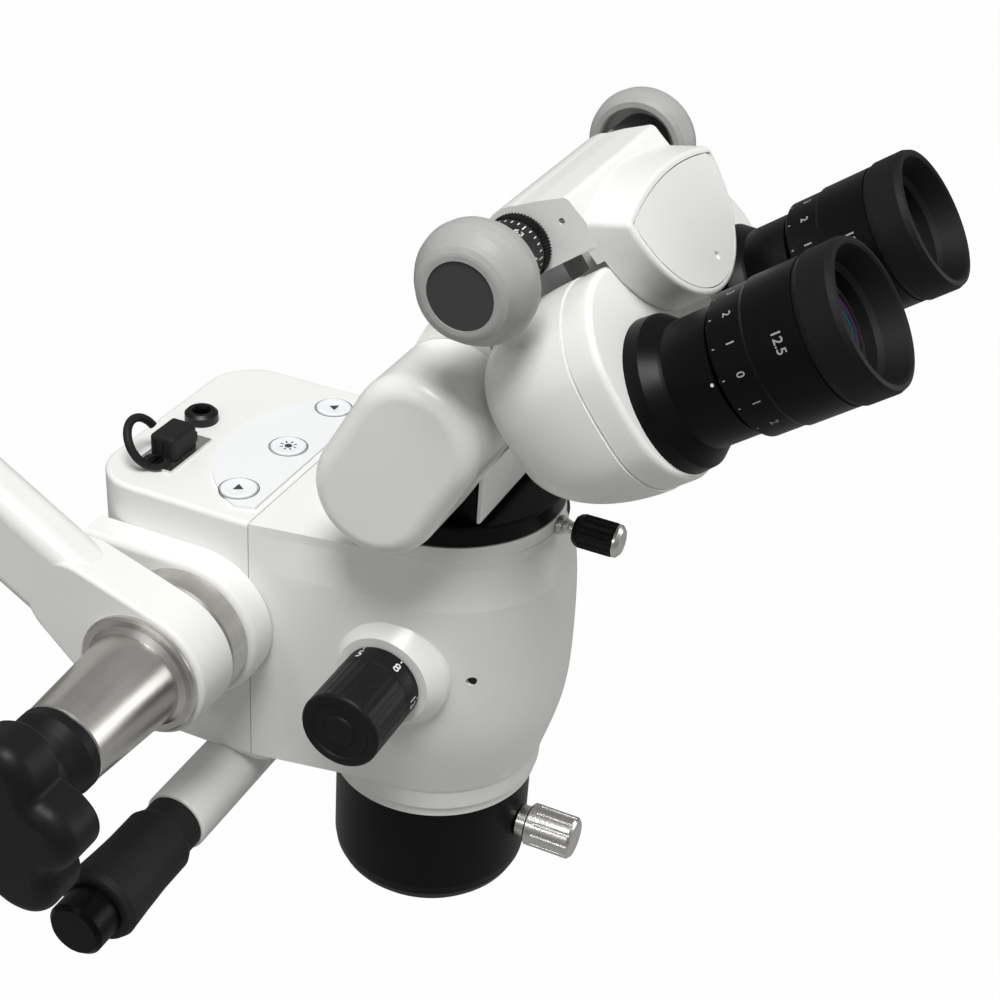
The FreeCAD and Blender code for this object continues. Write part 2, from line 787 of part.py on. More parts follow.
def friction_ring():
    ring = cyl_x(friction_ring_radius, -friction_face_x, -washer_face_x, tilt_y, tilt_z)
    rims = edges_in_plane(ring, "X", -washer_face_x)
    ring = ring.makeChamfer(0.6, rims)
    return ring.cut(cyl_x(axle_radius, 0.0, -200.0, tilt_y, tilt_z))


def friction_washer():
    outer = cyl_x(friction_ring_radius - 1.6, -washer_face_x, -washer_face_x - washer_thickness, tilt_y, tilt_z)
    return outer.cut(cyl_x(axle_radius, 0.0, -200.0, tilt_y, tilt_z))


def arm_direction():
    rise = math.radians(arm_rise_degrees)
    return Vector(0, math.cos(rise), math.sin(rise))


def arm_section(centre, forward, sideways, width, height):
    """Rounded rectangle across the arm, for the sweep from the hub to the spigot."""
    up = sideways.cross(forward).normalize()
    w, h, r = width / 2.0, height / 2.0, arm_edge_radius
    bulge = r * (1.0 - math.sqrt(0.5))

    def at(a, b):
        return centre + sideways * a + up * b

    corners = [(1, 1), (-1, 1), (-1, -1), (1, -1)]
    edges = []
    for index, (sa, sb) in enumerate(corners):
        na, nb = corners[(index + 1) % 4]
        if index % 2 == 0:
            start_arc, end_arc = at(sa * w, sb * (h - r)), at(sa * (w - r), sb * h)
            straight = Part.makeLine(end_arc, at(na * (w - r), nb * h))
        else:
            start_arc, end_arc = at(sa * (w - r), sb * h), at(sa * w, sb * (h - r))
            straight = Part.makeLine(end_arc, at(na * w, nb * (h - r)))
        middle = at(sa * (w - bulge), sb * (h - bulge))
        edges += [Part.Arc(start_arc, middle, end_arc).toShape(), straight]
    return Part.Wire(edges)


def spigot_place():
    along = arm_direction()
    return Vector(0, tilt_y, tilt_z) + along * arm_reach


def yoke_arm():
    """Side arm from the hub, swept round its elbow to the boss behind the head."""
    along = arm_direction()
    side_x = -(hub_inner_x + hub_width / 2.0)
    hub_centre = Vector(side_x, tilt_y, tilt_z)
    straight_length = arm_reach - arm_elbow_radius
    start = hub_centre + along * 4.0
    bend_start = hub_centre + along * straight_length
    bend_centre = bend_start + Vector(arm_elbow_radius, 0, 0)
    turn = math.sqrt(0.5)
    bend_middle = bend_centre + Vector(-arm_elbow_radius * turn, 0, 0) + along * (arm_elbow_radius * turn)
    bend_end = bend_centre + along * arm_elbow_radius
    finish = Vector(0, bend_end.y, bend_end.z)
    path = Part.Wire([
        Part.makeLine(start, bend_start),
        Part.Arc(bend_start, bend_middle, bend_end).toShape(),
        Part.makeLine(bend_end, finish),
    ])
    sideways = Vector(1, 0, 0)
    section = arm_section(start, along, sideways, arm_width, arm_height)
    bar = path.makePipeShell([section], True, False)
    hub = cyl_x(hub_radius, -hub_inner_x, -hub_outer_x, tilt_y, tilt_z)
    hub = hub.makeFillet(1.5, edges_in_plane(hub, "X", -hub_outer_x))
    root = hull_prism(Vector(-hub_inner_x, tilt_y, tilt_z), hub_radius,
                      Vector(-hub_inner_x, tilt_y, tilt_z) + along * 30.0, arm_height / 2.0,
                      Vector(-hub_width, 0, 0))
    root = root.makeFillet(1.5, edges_in_plane(root, "X", -hub_outer_x))
    place = spigot_place()
    boss_low = place.z - spigot_boss_height / 2.0
    boss_high = place.z + spigot_boss_height / 2.0
    boss = cyl_z(spigot_boss_radius, boss_low, boss_high, place.x, place.y)
    boss = boss.makeFillet(3.0, edges_in_plane(boss, "Z", boss_low) + edges_in_plane(boss, "Z", boss_high))
    arm = hub.fuse([root, bar, boss])
    cuts = [
        cyl_x(axle_radius + running_gap, 0.0, -200.0, tilt_y, tilt_z),
        cyl_z(spigot_radius - 2.0, boss_low + 6.0, boss_high + 1.0, place.x, place.y),
    ]
    return arm.cut(cuts)


def arm_spigot():
    """Steel pin that hangs the yoke in the stand's arm, pressed into the boss."""
    place = spigot_place()
    boss_high = place.z + spigot_boss_height / 2.0
    top = boss_high + spigot_length
    return lathe_z([
        (0, boss_high - spigot_boss_height + 6.0),
        (spigot_radius - 2.0, boss_high - spigot_boss_height + 6.0),
        (spigot_radius - 2.0, boss_high),
        (spigot_radius + 3.0, boss_high),
        (spigot_radius + 3.0, boss_high + 3.0),
        (spigot_radius, boss_high + 3.0),
        (spigot_radius, top - 1.2),
        (spigot_radius - 1.2, top),
        (0, top),
    ], place.x, place.y)


def tension_cone():
    """Steel flange and taper that presses the hub against the friction ring."""
    bore = axle_radius + running_gap
    profile = [
        (bore, hub_outer_x), (flange_radius, hub_outer_x), (flange_radius, hub_outer_x + 1.4),
        (flange_radius - 0.8, cone_face_x), (cone_base_radius + 1.6, cone_face_x),
        (cone_base_radius, cone_face_x + 1.6), (cone_tip_radius, cone_tip_x - 0.6),
        (cone_tip_radius - 0.6, cone_tip_x), (bore, cone_tip_x),
    ]
    return lathe_x(profile, tilt_y, tilt_z, -1)


def star_outline(x):
    """Closed curve of broad lobes and narrow hollows about the tilt axis."""
    points = []
    count = star_lobes * 8
    turn = math.radians(star_turn_degrees)
    for index in range(count):
        angle = 2.0 * math.pi * index / count
        swell = (1.0 + math.cos(star_lobes * (angle - turn))) / 2.0
        radius = star_waist_radius + (star_radius - star_waist_radius) * swell ** 0.6
        points.append(Vector(x, tilt_y + radius * math.cos(angle), tilt_z + radius * math.sin(angle)))
    curve = Part.BSplineCurve()
    curve.interpolate(points, PeriodicFlag=True)
    return Part.Wire([curve.toShape()])


def star_knob():
    """Lobed tension knob with a round collar and a narrower neck towards the cone."""
    start = cone_tip_x + running_gap
    lobes = Part.Face(star_outline(-star_face_x)).extrude(Vector(-star_thickness, 0, 0))
    lobes = lobes.makeFillet(1.2, edges_in_plane(lobes, "X", -star_face_x))
    lobes = lobes.makeFillet(5.5, edges_in_plane(lobes, "X", -star_face_x - star_thickness))
    neck = lathe_x([
        (0, start), (star_collar_radius - 0.5, start), (star_collar_radius, start + 0.8),
        (star_collar_radius, start + 4.0), (star_neck_radius + 1.0, start + 8.0), (star_neck_radius, start + 12.0),
        (star_neck_radius + 0.6, star_face_x - 5.0), (star_neck_radius + 3.6, star_face_x - 1.6),
        (star_neck_radius + 8.0, star_face_x + 1.2), (0, star_face_x + 1.2),
    ], tilt_y, tilt_z, -1)
    bores = [
        cyl_x(axle_radius + running_gap, 0.0, -cone_tip_x - 4.5, tilt_y, tilt_z),
        cyl_x(axle_radius - 1.5 + running_gap, 0.0, -star_face_x - 8.5, tilt_y, tilt_z),
    ]
    return lobes.fuse(neck).cut(bores)


# Magnification changer
def channel_angles():
    return (0.0, 60.0, 120.0)


def turned_about_drum(shape, angle):
    shape = shape.copy()
    shape.rotate(Vector(0, drum_y, drum_z), Vector(1, 0, 0), angle)
    return shape


def magnification_drum():
    """Turret with three pairs of light channels across it and a trunnion at each end."""
    drum = cyl_x(drum_radius, -drum_half_length, drum_half_length, drum_y, drum_z)
    rims = edges_in_plane(drum, "X", -drum_half_length) + edges_in_plane(drum, "X", drum_half_length)
    drum = drum.makeChamfer(1.5, rims)
    trunnion = cyl_x(trunnion_radius, -knob_boss_reach - 8.0, knob_boss_reach + 8.0, drum_y, drum_z)
    drum = drum.fuse(trunnion)
    bores = []
    for angle in channel_angles():
        for x in (-channel_offset, channel_offset):
            bore = cyl_z(channel_radius, drum_z - 40.0, drum_z + 40.0, x, drum_y)
            bores.append(turned_about_drum(bore, angle))
    return drum.cut(bores)


def magnification_lenses():
    """Lens pairs in two of the three channels: the third channel stays clear."""
    lenses = []
    seat = math.sqrt(drum_radius ** 2 - channel_radius ** 2) - lens_thickness - 0.6
    for angle in channel_angles()[1:]:
        for x in (-channel_offset, channel_offset):
            for side in (-1, 1):
                low = drum_z + side * (seat + lens_thickness / 2.0) - lens_thickness / 2.0
                lens = cyl_z(lens_radius, low, low + lens_thickness, x, drum_y)
                lenses.append(turned_about_drum(lens, angle))
    return group(lenses)


def magnification_knob(sign):
    start = knob_boss_reach + slip_gap
    end = start + knob_length
    profile = [
        (0, start), (knob_radius - 0.5, start), (knob_radius, start + 0.5), (knob_radius, end - 1.2),
        (knob_radius - 1.2, end), (knob_radius - 3.4, end), (knob_radius - 3.8, end - 0.5),
        (knob_radius - 7.4, end - 0.5), (knob_radius - 7.8, end), (0, end),
    ]
    knob = lathe_x(profile, drum_y, drum_z, sign)
    return knob.cut(cyl_x(trunnion_radius, 0.0, sign * (knob_boss_reach + 8.0), drum_y, drum_z))


def magnification_knobs():
    return group([magnification_knob(-1), magnification_knob(1)])


# Objective and fine focus
def objective_cup():
    """Black cup round the objective, with the slot for the focusing rack."""
    top = lower_neck_bottom_z - running_gap
    outer = []
    steps = 5
    for index in range(steps + 1):
        angle = math.radians(90.0) * index / steps
        radius = mouth_outer_radius + (cup_radius - mouth_outer_radius) * math.sin(angle)
        outer.append((radius, cup_straight_z * (1.0 - math.cos(angle))))
    profile = [(mouth_radius, 0.0)] + outer + [
        (cup_radius, top),
        (cell_radius + running_gap, top),
        (cell_radius + running_gap, mouth_length),
        (mouth_radius, mouth_length),
    ]
    cup = lathe_z(profile)
    slot_half = (2 * focus_teeth_travel + 2.9) * rack_pitch + 0.5
    slot = box_between((-pinion_pitch_radius - 1.2, pinion_pitch_radius + 5.0),
                       (-cell_radius - pinion_length - 1.0, -cell_radius + 3.0),
                       (focus_z - slot_half, focus_z + slot_half))
    bore = cyl_y(focus_shaft_radius + running_gap, -cup_radius - 1.0, -cell_radius, 0.0, focus_z)
    return cup.cut([slot, bore])


def gear_outline(teeth, module, y, centre_x, centre_z, backlash):
    """Straight-flanked teeth about a centre in the XZ plane."""
    pitch_radius = module * teeth / 2.0
    root = pitch_radius - 1.2 * module
    tip = pitch_radius + 0.9 * module
    points = []
    for index in range(teeth):
        middle = 2.0 * math.pi * index / teeth
        half_root = math.pi / teeth * 0.80
        half_tip = math.pi / teeth * 0.30 - backlash / tip
        for angle, radius in ((-half_root, root), (-half_tip, tip), (half_tip, tip), (half_root, root)):
            a = middle + angle
            points.append(Vector(centre_x + radius * math.cos(a), y, centre_z + radius * math.sin(a)))
    return Part.Face(Part.makePolygon(points + [points[0]]))


def focus_pinion():
    """Shaft with the small pinion that drives the cell's rack."""
    start_y = -cell_radius - pinion_length - 0.4
    gear = gear_outline(pinion_teeth, rack_module, start_y, 0.0, focus_z, 0.12).extrude(
        Vector(0, pinion_length - 0.4, 0))
    shaft = cyl_y(focus_shaft_radius, start_y + 0.2, -cup_radius - 10.0, 0.0, focus_z)
    return gear.fuse(shaft)


def objective_cell():
    """Sliding lens cell with the rack on its front."""
    body = lathe_z([
        (cell_bore_radius - 1.6, cell_bottom_z), (cell_radius - 0.6, cell_bottom_z),
        (cell_radius, cell_bottom_z + 0.6), (cell_radius, cell_top_z), (cell_bore_radius, cell_top_z),
        (cell_bore_radius, cell_bottom_z + 2.0), (cell_bore_radius - 1.6, cell_bottom_z + 2.0),
    ])
    travel_teeth = focus_teeth_travel
    line_x = pinion_pitch_radius
    back_x = line_x + 3.2
    half_count = int(round(travel_teeth)) + 2
    points = []
    for index in range(-half_count, half_count + 1):
        z = focus_z + (index + 0.5) * rack_pitch
        root_x = line_x + 1.15 * rack_module
        tip_x = line_x - 0.85 * rack_module
        half_root, half_tip = rack_pitch * 0.40, rack_pitch * 0.14
        points += [(root_x, z - half_root), (tip_x, z - half_tip), (tip_x, z + half_tip), (root_x, z + half_root)]
    y_back = -cell_radius + 1.5
    y_front = -cell_radius - pinion_length + 0.2
    outline = [Vector(x, y_front, z) for x, z in points]
    outline += [Vector(back_x, y_front, points[-1][1]), Vector(back_x, y_front, points[0][1])]
    rack = Part.Face(Part.makePolygon(outline + [outline[0]])).extrude(Vector(0, y_back - y_front, 0))
    bar = box_between((line_x + 1.15 * rack_module, back_x), (y_front, -cell_radius + 3.0),
                      (points[0][1], points[-1][1]))
    return body.fuse([rack.common(outside_cell()), bar.common(outside_cell())])


def outside_cell():
    """Space outside the cell's bore, so that the rack doesn't enter it."""
    block = box_between((-20.0, 20.0), (-cell_radius - 10.0, 0.0), (cell_bottom_z, cell_top_z))
    return block.cut(cyl_z(cell_bore_radius + 1.0, cell_bottom_z - 1.0, cell_top_z + 1.0))


def objective_lens():
    """Cemented objective: two curved outer faces on a straight rim."""
    low = cell_bottom_z + 2.0 + running_gap
    rim = 9.0
    sag = 2.6
    ball = (objective_radius ** 2 + sag ** 2) / (2.0 * sag)
    disc = cyl_z(objective_radius, low, low + rim)
    top_ball = Part.makeSphere(ball, Vector(0, 0, low + rim + 0.6 - ball))
    low_ball = Part.makeSphere(ball * 2.4, Vector(0, 0, low - 0.0 + ball * 2.4))
    return disc.common(top_ball).common(low_ball)


def focus_knob():
    """Bright fluted knob with a collar, on the pinion's shaft."""
    start = cup_radius + slip_gap
    collar_end = start + 3.4
    end = collar_end + focus_knob_length
    base = Vector(0, 0, focus_z)
    profile = [
        (0, start), (focus_collar_radius, start), (focus_collar_radius, collar_end),
        (focus_knob_radius - 0.6, collar_end), (focus_knob_radius, collar_end + 0.6),
        (focus_knob_radius, end - 1.0), (focus_knob_radius - 1.0, end), (0, end),
    ]
    knob = lathe(profile, base, base + Vector(0, -1, 0))
    cuts = [cyl_y(focus_shaft_radius, -cup_radius - 10.0, 0.0, 0.0, focus_z)]
    flute = 0.9
    for index in range(focus_flutes):
        angle = 2.0 * math.pi * (index + 0.5) / focus_flutes
        x = (focus_knob_radius + 0.35) * math.cos(angle)
        z = focus_z + (focus_knob_radius + 0.35) * math.sin(angle)
        cuts.append(cyl_y(flute, -collar_end - 3.2, -end - 1.0, x, z))
    return knob.cut(cuts)


# Handles
def handle_tubes():
    tubes = []
    for sign in (-1, 1):
        tube = cyl_x(handle_tube_radius, sign * 0.5, sign * handle_tube_end, handle_y, handle_z)
        tube = tube.makeFillet(1.0, edges_in_plane(tube, "X", sign * handle_tube_end))
        tube = tube.cut(cyl_x(5.0, 0.0, sign * 200.0, handle_y, handle_z))
        tubes.append(tube)
    return group(tubes)


def handle_grips():
    """Rubber sleeves: a narrow neck, a shoulder and the waisted grip."""
    start = handle_tube_end + running_gap
    shoulder = start + handle_neck_length
    end = shoulder + grip_length
    profile = [
        (5.0, start), (handle_neck_radius, start), (handle_neck_radius, shoulder),
        (grip_waist_radius - 1.2, shoulder + 0.4), (grip_waist_radius, shoulder + 3.0),
        (grip_waist_radius, shoulder + grip_length * 0.4), (grip_waist_radius + 0.5, shoulder + grip_length * 0.66),
        (grip_radius, end - 2.6), (grip_radius - 1.0, end - 0.4), (grip_radius - 2.0, end), (5.0, end),
    ]
    return group([lathe_x(profile, handle_y, handle_z, sign) for sign in (-1, 1)])


def handle_end_knobs():
    """End knobs whose long screws hold the grips on the tubes."""
    end = handle_tube_end + handle_neck_length + grip_length + 2.0 * running_gap
    profile = [
        (0, 30.0), (5.0 - running_gap, 30.0), (5.0 - running_gap, end), (end_knob_radius, end),
        (end_knob_radius, end + end_knob_length - 1.4), (end_knob_radius - 1.4, end + end_knob_length),
        (0, end + end_knob_length),
    ]
    return group([lathe_x(profile, handle_y, handle_z, sign) for sign in (-1, 1)])


# Binocular base
def binocular_ring():
    """Black dovetail ring that sits on the neck and turns in its recess."""
    foot = neck_top_z - neck_recess_depth + face_gap
    profile = [
        (light_bore_radius - 2.0, foot), (dovetail_foot_radius, foot), (dovetail_foot_radius, foot + 1.0),
        (dovetail_top_radius, foot + 3.6), (dovetail_top_radius, ring_bottom_z),
        (ring_radius, ring_bottom_z), (ring_radius, ring_top_z - 0.8), (ring_radius - 0.8, ring_top_z),
        (light_bore_radius - 2.0, ring_top_z),
    ]
    return lathe_z(profile)


def base_block():
    """Dark casting on the ring, with the knuckle of the lower hinge."""
    low = ring_top_z
    high = low + base_block_height
    block = box_between((-base_half_width, base_half_width), (apron_y + apron_thickness, 22.0), (low, high))
    block = block.makeFillet(3.0, edges_where(block, lambda edge: edge.BoundBox.ZLength > 5.0))
    knuckle = cyl_x(knuckle_radius, -knuckle_half_width, knuckle_half_width, link_y, link_z)
    web = box_between((-knuckle_half_width, knuckle_half_width), (link_y - 15.0, link_y + 15.0), (low, link_z))
    sweep_gap = 0.6
    pods = [
        cyl_x(pod_radius + sweep_gap, sign * (base_half_width - 0.5), sign * 70.0, link_y, link_z)
        for sign in (-1, 1)
    ]
    bores = [
        cyl_x(hinge_shaft_radius + running_gap, -20.0, 20.0, link_y, link_z),
        cyl_z(5.0, low - 1.0, link_z - 8.0, -8.0, link_y),
        cyl_z(5.0, low - 1.0, link_z - 8.0, 8.0, link_y),
    ]
    lug_sweep = link_length + 3.0
    relief = [
        cyl_x(lug_radius + sweep_gap, sign * (knuckle_half_width + 0.3), sign * 31.0, y, z)
        for sign in (-1, 1) for y, z in upper_hinge_places(lug_sweep - 3.0)
    ]
    return block.fuse([knuckle, web]).cut(pods + bores + relief)


def upper_hinge_places(length):
    """Where the upper hinge is at rest and at the two limits of the swing."""
    places = []
    for swing in swing_limits_degrees + (0.0,):
        lean = link_lean + math.radians(swing)
        places.append((link_y - length * math.sin(lean), link_z + length * math.cos(lean)))
    return places


swing_limits_degrees = (-20.0, 12.0)


def base_apron():
    """White front plate of the base, turned over at the top towards the knuckle of the hinge."""
    across = (-apron_half_width, apron_half_width)
    plate = box_between(across, (apron_y, apron_y + apron_thickness), (apron_bottom_z, apron_top_z))
    flange = box_between(across, (apron_y, apron_flange_y), (apron_top_z - apron_thickness, apron_top_z))
    apron = plate.fuse(flange).removeSplitter()
    return apron.makeFillet(0.6, edges_in_plane(apron, "Y", apron_y))


def clamp_screw():
    """Screw through the neck that locks the dovetail, with a ball, a nut and a domed end."""
    inner = -dovetail_foot_radius - 0.35
    end = clamp_knob_start + clamp_knob_length
    stem = cyl_y(clamp_stem_radius, inner, -end - 0.5, 0.0, clamp_z)
    nut_start = neck_radius + 0.5
    nut = cyl_y(3.1, -nut_start, -nut_start - 1.4, 0.0, clamp_z)
    ball = Part.makeSphere(2.4, Vector(0, -nut_start - 2.4, clamp_z))
    base = Vector(0, 0, clamp_z)
    dome = lathe([(0, end), (clamp_knob_radius - 0.2, end), (clamp_knob_radius - 0.2, end + 0.8),
                  (clamp_knob_radius - 1.4, end + 1.9), (0, end + 2.4)], base, base + Vector(0, -1, 0))
    return stem.fuse([nut, ball, dome])


def clamp_knob():
    """Black ribbed sleeve on the clamp screw."""
    start, end = clamp_knob_start, clamp_knob_start + clamp_knob_length
    base = Vector(0, 0, clamp_z)
    profile = [
        (clamp_stem_radius, start), (clamp_knob_radius - 1.2, start), (clamp_knob_radius, start + 2.0),
        (clamp_knob_radius, end), (clamp_stem_radius, end),
    ]
    return lathe(profile, base, base + Vector(0, -1, 0))


# Swing link
def swing_pod(sign):
    """Side housing of the link: long round form from the lower hinge to the upper one."""
    start = Vector(sign * pod_inner_x, link_y, link_z)
    end = Vector(sign * pod_inner_x, upper_y, upper_z)
    pod = hull_prism(start, pod_radius, end, pod_radius, Vector(sign * (pod_outer_x - pod_inner_x), 0, 0))
    pod = pod.makeFillet(pod_edge_radius, edges_in_plane(pod, "X", sign * pod_outer_x))
    bores = [
        cyl_x(hinge_shaft_radius, 0.0, sign * (pod_inner_x + 15.0), link_y, link_z),
        cyl_x(hinge_shaft_radius, 0.0, sign * (pod_inner_x + 15.0), upper_y, upper_z),
    ]
    return pod.cut(bores)


def hinge_shafts():
    reach = pod_inner_x + 15.0
    return group([
        cyl_x(hinge_shaft_radius, -reach, reach, link_y, link_z),
        cyl_x(hinge_shaft_radius, -reach, reach, upper_y, upper_z),
    ])


# Upper binocular head, drawn in the view frame
def head_housing():
    """Head over the two prism housings: cross shoulder, hood to the upper hinge, round-bottomed front."""
    half = head_block_half_width
    wide = shoulder_half_length
    pd_centre = Vector(-half, pd_height, pd_depth)
    pivot = Vector(-half, pivot_height, -pivot_to_rim)
    hood = hull_prism(pd_centre, shoulder_radius, pivot, lug_radius, Vector(2.0 * half, 0, 0))
    wide_hood = hull_prism(Vector(-wide, pd_height, pd_depth), shoulder_radius,
                           Vector(-wide, pivot_height, -pivot_to_rim), lug_radius, Vector(2.0 * wide, 0, 0))
    wide_hood = wide_hood.common(box_between((-wide, wide), (slot_roof, 80.0), (block_back, 0.0)))
    housing = cover_shape().fuse([hood, wide_hood, shoulder_block()])
    beside = (-wide - 1.0, wide + 1.0)
    cuts = [
        box_between(beside, (-40.0, bell_roof()), (bell_back - 1.2, bell_front + 0.2)),
        box_between(beside, (-40.0, slot_roof), (bell_back - 1.2, cover_back)),
        box_between((-knuckle_half_width - 0.7, knuckle_half_width + 0.7), (-40.0, bell_roof() + 0.2),
                    (-200.0, bell_back)),
        Part.makeCylinder(shaft_radius + running_gap, 120.0, Vector(-60.0, pd_height, pd_depth), Vector(1, 0, 0)),
        Part.makeCylinder(hinge_shaft_radius + running_gap, 80.0, Vector(-40.0, pivot_height, -pivot_to_rim),
                          Vector(1, 0, 0)),
        lid_shape(cover_rim - slip_gap, cover_lid_thickness),
    ]
    for sign in (-1, 1):
        cuts.append(box_between((sign * nut_slot_inner, sign * nut_slot_outer), nut_slot_y(),
                                (pd_depth - 5.0, pd_depth + 5.0)))
        cuts.append(Part.makeCylinder(0.9, 5.0, Vector(sign * (wide + 1.0), 53.6, -64.3), Vector(-sign, 0, 0)))
    return in_view(housing.cut(cuts).removeSplitter())


def shoulder_block():
    """Cross shoulder: steep front step, top that rises slowly to the rear."""
    wide = shoulder_half_length
    outline = [
        (slot_roof, cover_back), (slot_roof, step_z - 1.0), (50.4, step_z), (58.6, step_z - 1.5),
        (61.3, -68.4), (pd_height + shoulder_radius, pd_depth), (slot_roof, pd_depth),
    ]
    points = [Vector(-wide, y, z) for y, z in outline]
    block = Part.Face(Part.makePolygon(points + [points[0]])).extrude(Vector(2.0 * wide, 0, 0))

    def is_step_top(edge):
        box = edge.BoundBox
        return abs(box.YMin - 58.6) < 0.1 and abs(box.YMax - 58.6) < 0.1

    return block.makeFillet(2.2, edges_where(block, is_step_top))


def crown_tool(front_z, low, slope, reach):
    """Space above a crowned top line, which rises by the slope from front_z to the rear."""
    side = cover_radius + 2.0
    fall = cover_crown * (side * side / (cover_radius * cover_radius) - 1.0)
    left = Vector(-side, low - fall, front_z)
    middle = Vector(0, low + cover_crown, front_z)
    right = Vector(side, low - fall, front_z)
    top_right, top_left = right + Vector(0, 60.0, 0), left + Vector(0, 60.0, 0)
    wire = Part.Wire([
        Part.Arc(left, middle, right).toShape(), Part.makeLine(right, top_right),
        Part.makeLine(top_right, top_left), Part.makeLine(top_left, left),
    ])
    return Part.Face(wire).extrude(Vector(0, slope * reach, -reach))


def cover_shape():
    """Front of the head: round below, crowned top that slopes, all front edges rounded."""
    depth = cover_front - cover_back
    disc = Part.makeCylinder(cover_radius, depth, Vector(0, cover_height, cover_back), Vector(0, 0, 1))
    ahead = 1.0
    low = cover_side_top - cover_slope * ahead
    disc.rotate(Vector(0, cover_height, 0), Vector(0, 0, 1), -90)
    disc = disc.cut(crown_tool(cover_front + ahead, low, cover_slope, depth + 2.0 * ahead))

    def is_corner(edge):
        box = edge.BoundBox
        return box.ZLength > depth - 1.0 and box.YMin > cover_side_top - 4.0

    disc = disc.makeFillet(2.5, edges_where(disc, is_corner))
    return disc.makeFillet(1.4, edges_in_plane(disc, "Z", cover_front))


def lid_shape(inset, thickness):
    """Plate of the cover's outline, smaller all round, with its face in the cover's front."""
    back = cover_front - thickness
    plate = Part.makeCylinder(cover_radius - inset, thickness, Vector(0, cover_height, back), Vector(0, 0, 1))
    plate.rotate(Vector(0, cover_height, 0), Vector(0, 0, 1), -90)
    return plate.cut(crown_tool(cover_front + 1.0, cover_side_top - inset, 0.0, thickness + 2.0))


def bell_roof():
    """Height of the slot between the bells' tops and the head."""
    return bell_rise + bell_radius + 0.8


def nut_slot_y():
    return (bell_roof() - 1.0, pd_height + 5.2)


def front_cover():
    """Lid let into the front of the head, with the recess of its one screw."""
    lid = lid_shape(cover_rim, cover_lid_thickness)

    def is_corner(edge):
        box = edge.BoundBox
        return box.ZLength > cover_lid_thickness - 0.1 and box.XLength < 2.0 and box.YMin > cover_height - 12.0

    lid = lid.makeFillet(cover_corner_radius, edges_where(lid, is_corner))
    recess = Part.makeCylinder(1.3, 1.4, Vector(3.5, cover_screw_rise, cover_front - 1.2), Vector(0, 0, 1))
    return in_view(lid.cut(recess))


def bell_outline_solid(radius, back, front):
    low = Vector(0, bell_low, back)
    high = Vector(0, bell_rise, back)
    return hull_prism(low, radius, high, radius, Vector(0, 0, front - back))


def bell(sign):
    """Prism housing of one eyepiece: tall round shell, rounded at the back, lip in front."""
    shell = bell_outline_solid(bell_radius, bell_back, bell_front)
    inner_side = box_between((sign * -bell_inner, sign * -80.0), (-60.0, 80.0), (-200.0, 20.0))
    shell = shell.cut(inner_side)
    shell = shell.makeFillet(bell_edge_radius, edges_in_plane(shell, "Z", bell_back))
    shell = shell.makeFillet(3.0, edges_in_plane(shell, "Z", bell_front))
    room = bell_outline_solid(bell_radius - 9.0, bell_back + 9.0, bell_front - 3.0)
    room = room.cut(box_between((sign * -(bell_inner - 3.0), sign * -80.0), (-60.0, 80.0), (-200.0, 20.0)))
    socket = Part.makeCylinder(tube_bore + 2.0, 10.0, Vector(0, 0, bell_front - 5.0), Vector(0, 0, 1))
    light_port = Part.makeCylinder(5.0, 30.0, Vector(sign * -bell_inner * 0.45, 8.0, bell_back - 5.0),
                                   Vector(0, 0, 1))
    shell = shell.cut([room, socket, light_port])
    shell.translate(Vector(sign * half_ipd, 0, 0))
    return in_view(shell)


def bell_nut(sign):
    """Threaded follower on the bell's top, which the cross shaft moves sideways."""
    roof = bell_roof()
    travel_in = (ipd - ipd_minimum) / 2.0
    travel_out = (ipd_maximum - ipd) / 2.0
    inner = nut_slot_inner + travel_in + 0.5
    outer = nut_slot_outer - travel_out - 0.5
    post = box_between((sign * inner, sign * outer), (bell_rise + bell_radius - 1.6, pd_height + 4.8),
                       (pd_depth - 4.6, pd_depth + 4.6))
    return post.cut(Part.makeCylinder(shaft_radius + running_gap, 120.0, Vector(-60.0, pd_height, pd_depth),
                                      Vector(1, 0, 0)))


def prism_housing(sign):
    placed_nut = in_view(bell_nut(sign))
    return bell(sign).fuse(placed_nut)


def rhomb_prism(sign):
    """Glass rhomb inside the bell, which shifts the beam out to the eyepiece."""
    half_height = 6.5
    low_y = 3.0 - half_height
    outer = sign * (half_ipd + 9.0)
    inner = sign * (half_ipd - 16.4)
    skew = sign * 12.0
    points = [
        Vector(inner, low_y, bell_back + 10.0), Vector(outer - skew, low_y, bell_back + 10.0),
        Vector(outer, low_y, bell_front - 8.0), Vector(inner + skew, low_y, bell_front - 8.0),
    ]
    face = Part.Face(Part.makePolygon(points + [points[0]]))
    return in_view(face.extrude(Vector(0, 2.0 * half_height, 0)))


def view_lathe(profile, sign):
    base = Vector(sign * half_ipd, 0, 0)
    return in_view(lathe(profile, base, base + Vector(0, 0, 1)))


def eyepiece_tube(sign):
    """Flanged tube screwed into the bell: the eyepiece barrel turns on it."""
    profile = [
        (tube_bore, bell_front - 4.8), (tube_bore + 2.0 - running_gap, bell_front - 4.8),
        (tube_bore + 2.0 - running_gap, bell_front), (flange_base_radius, bell_front),
        (flange_base_radius - 0.4, bell_front + 4.2), (tube_radius + 0.6, tube_neck_back - 0.6),
        (tube_radius, tube_neck_back), (tube_radius, barrel_back - 1.4), (tube_radius - 1.6, barrel_back - 1.0),
        (tube_radius - 1.6, barrel_front - 3.0), (tube_bore, barrel_front - 3.0),
    ]
    return view_lathe(profile, sign)


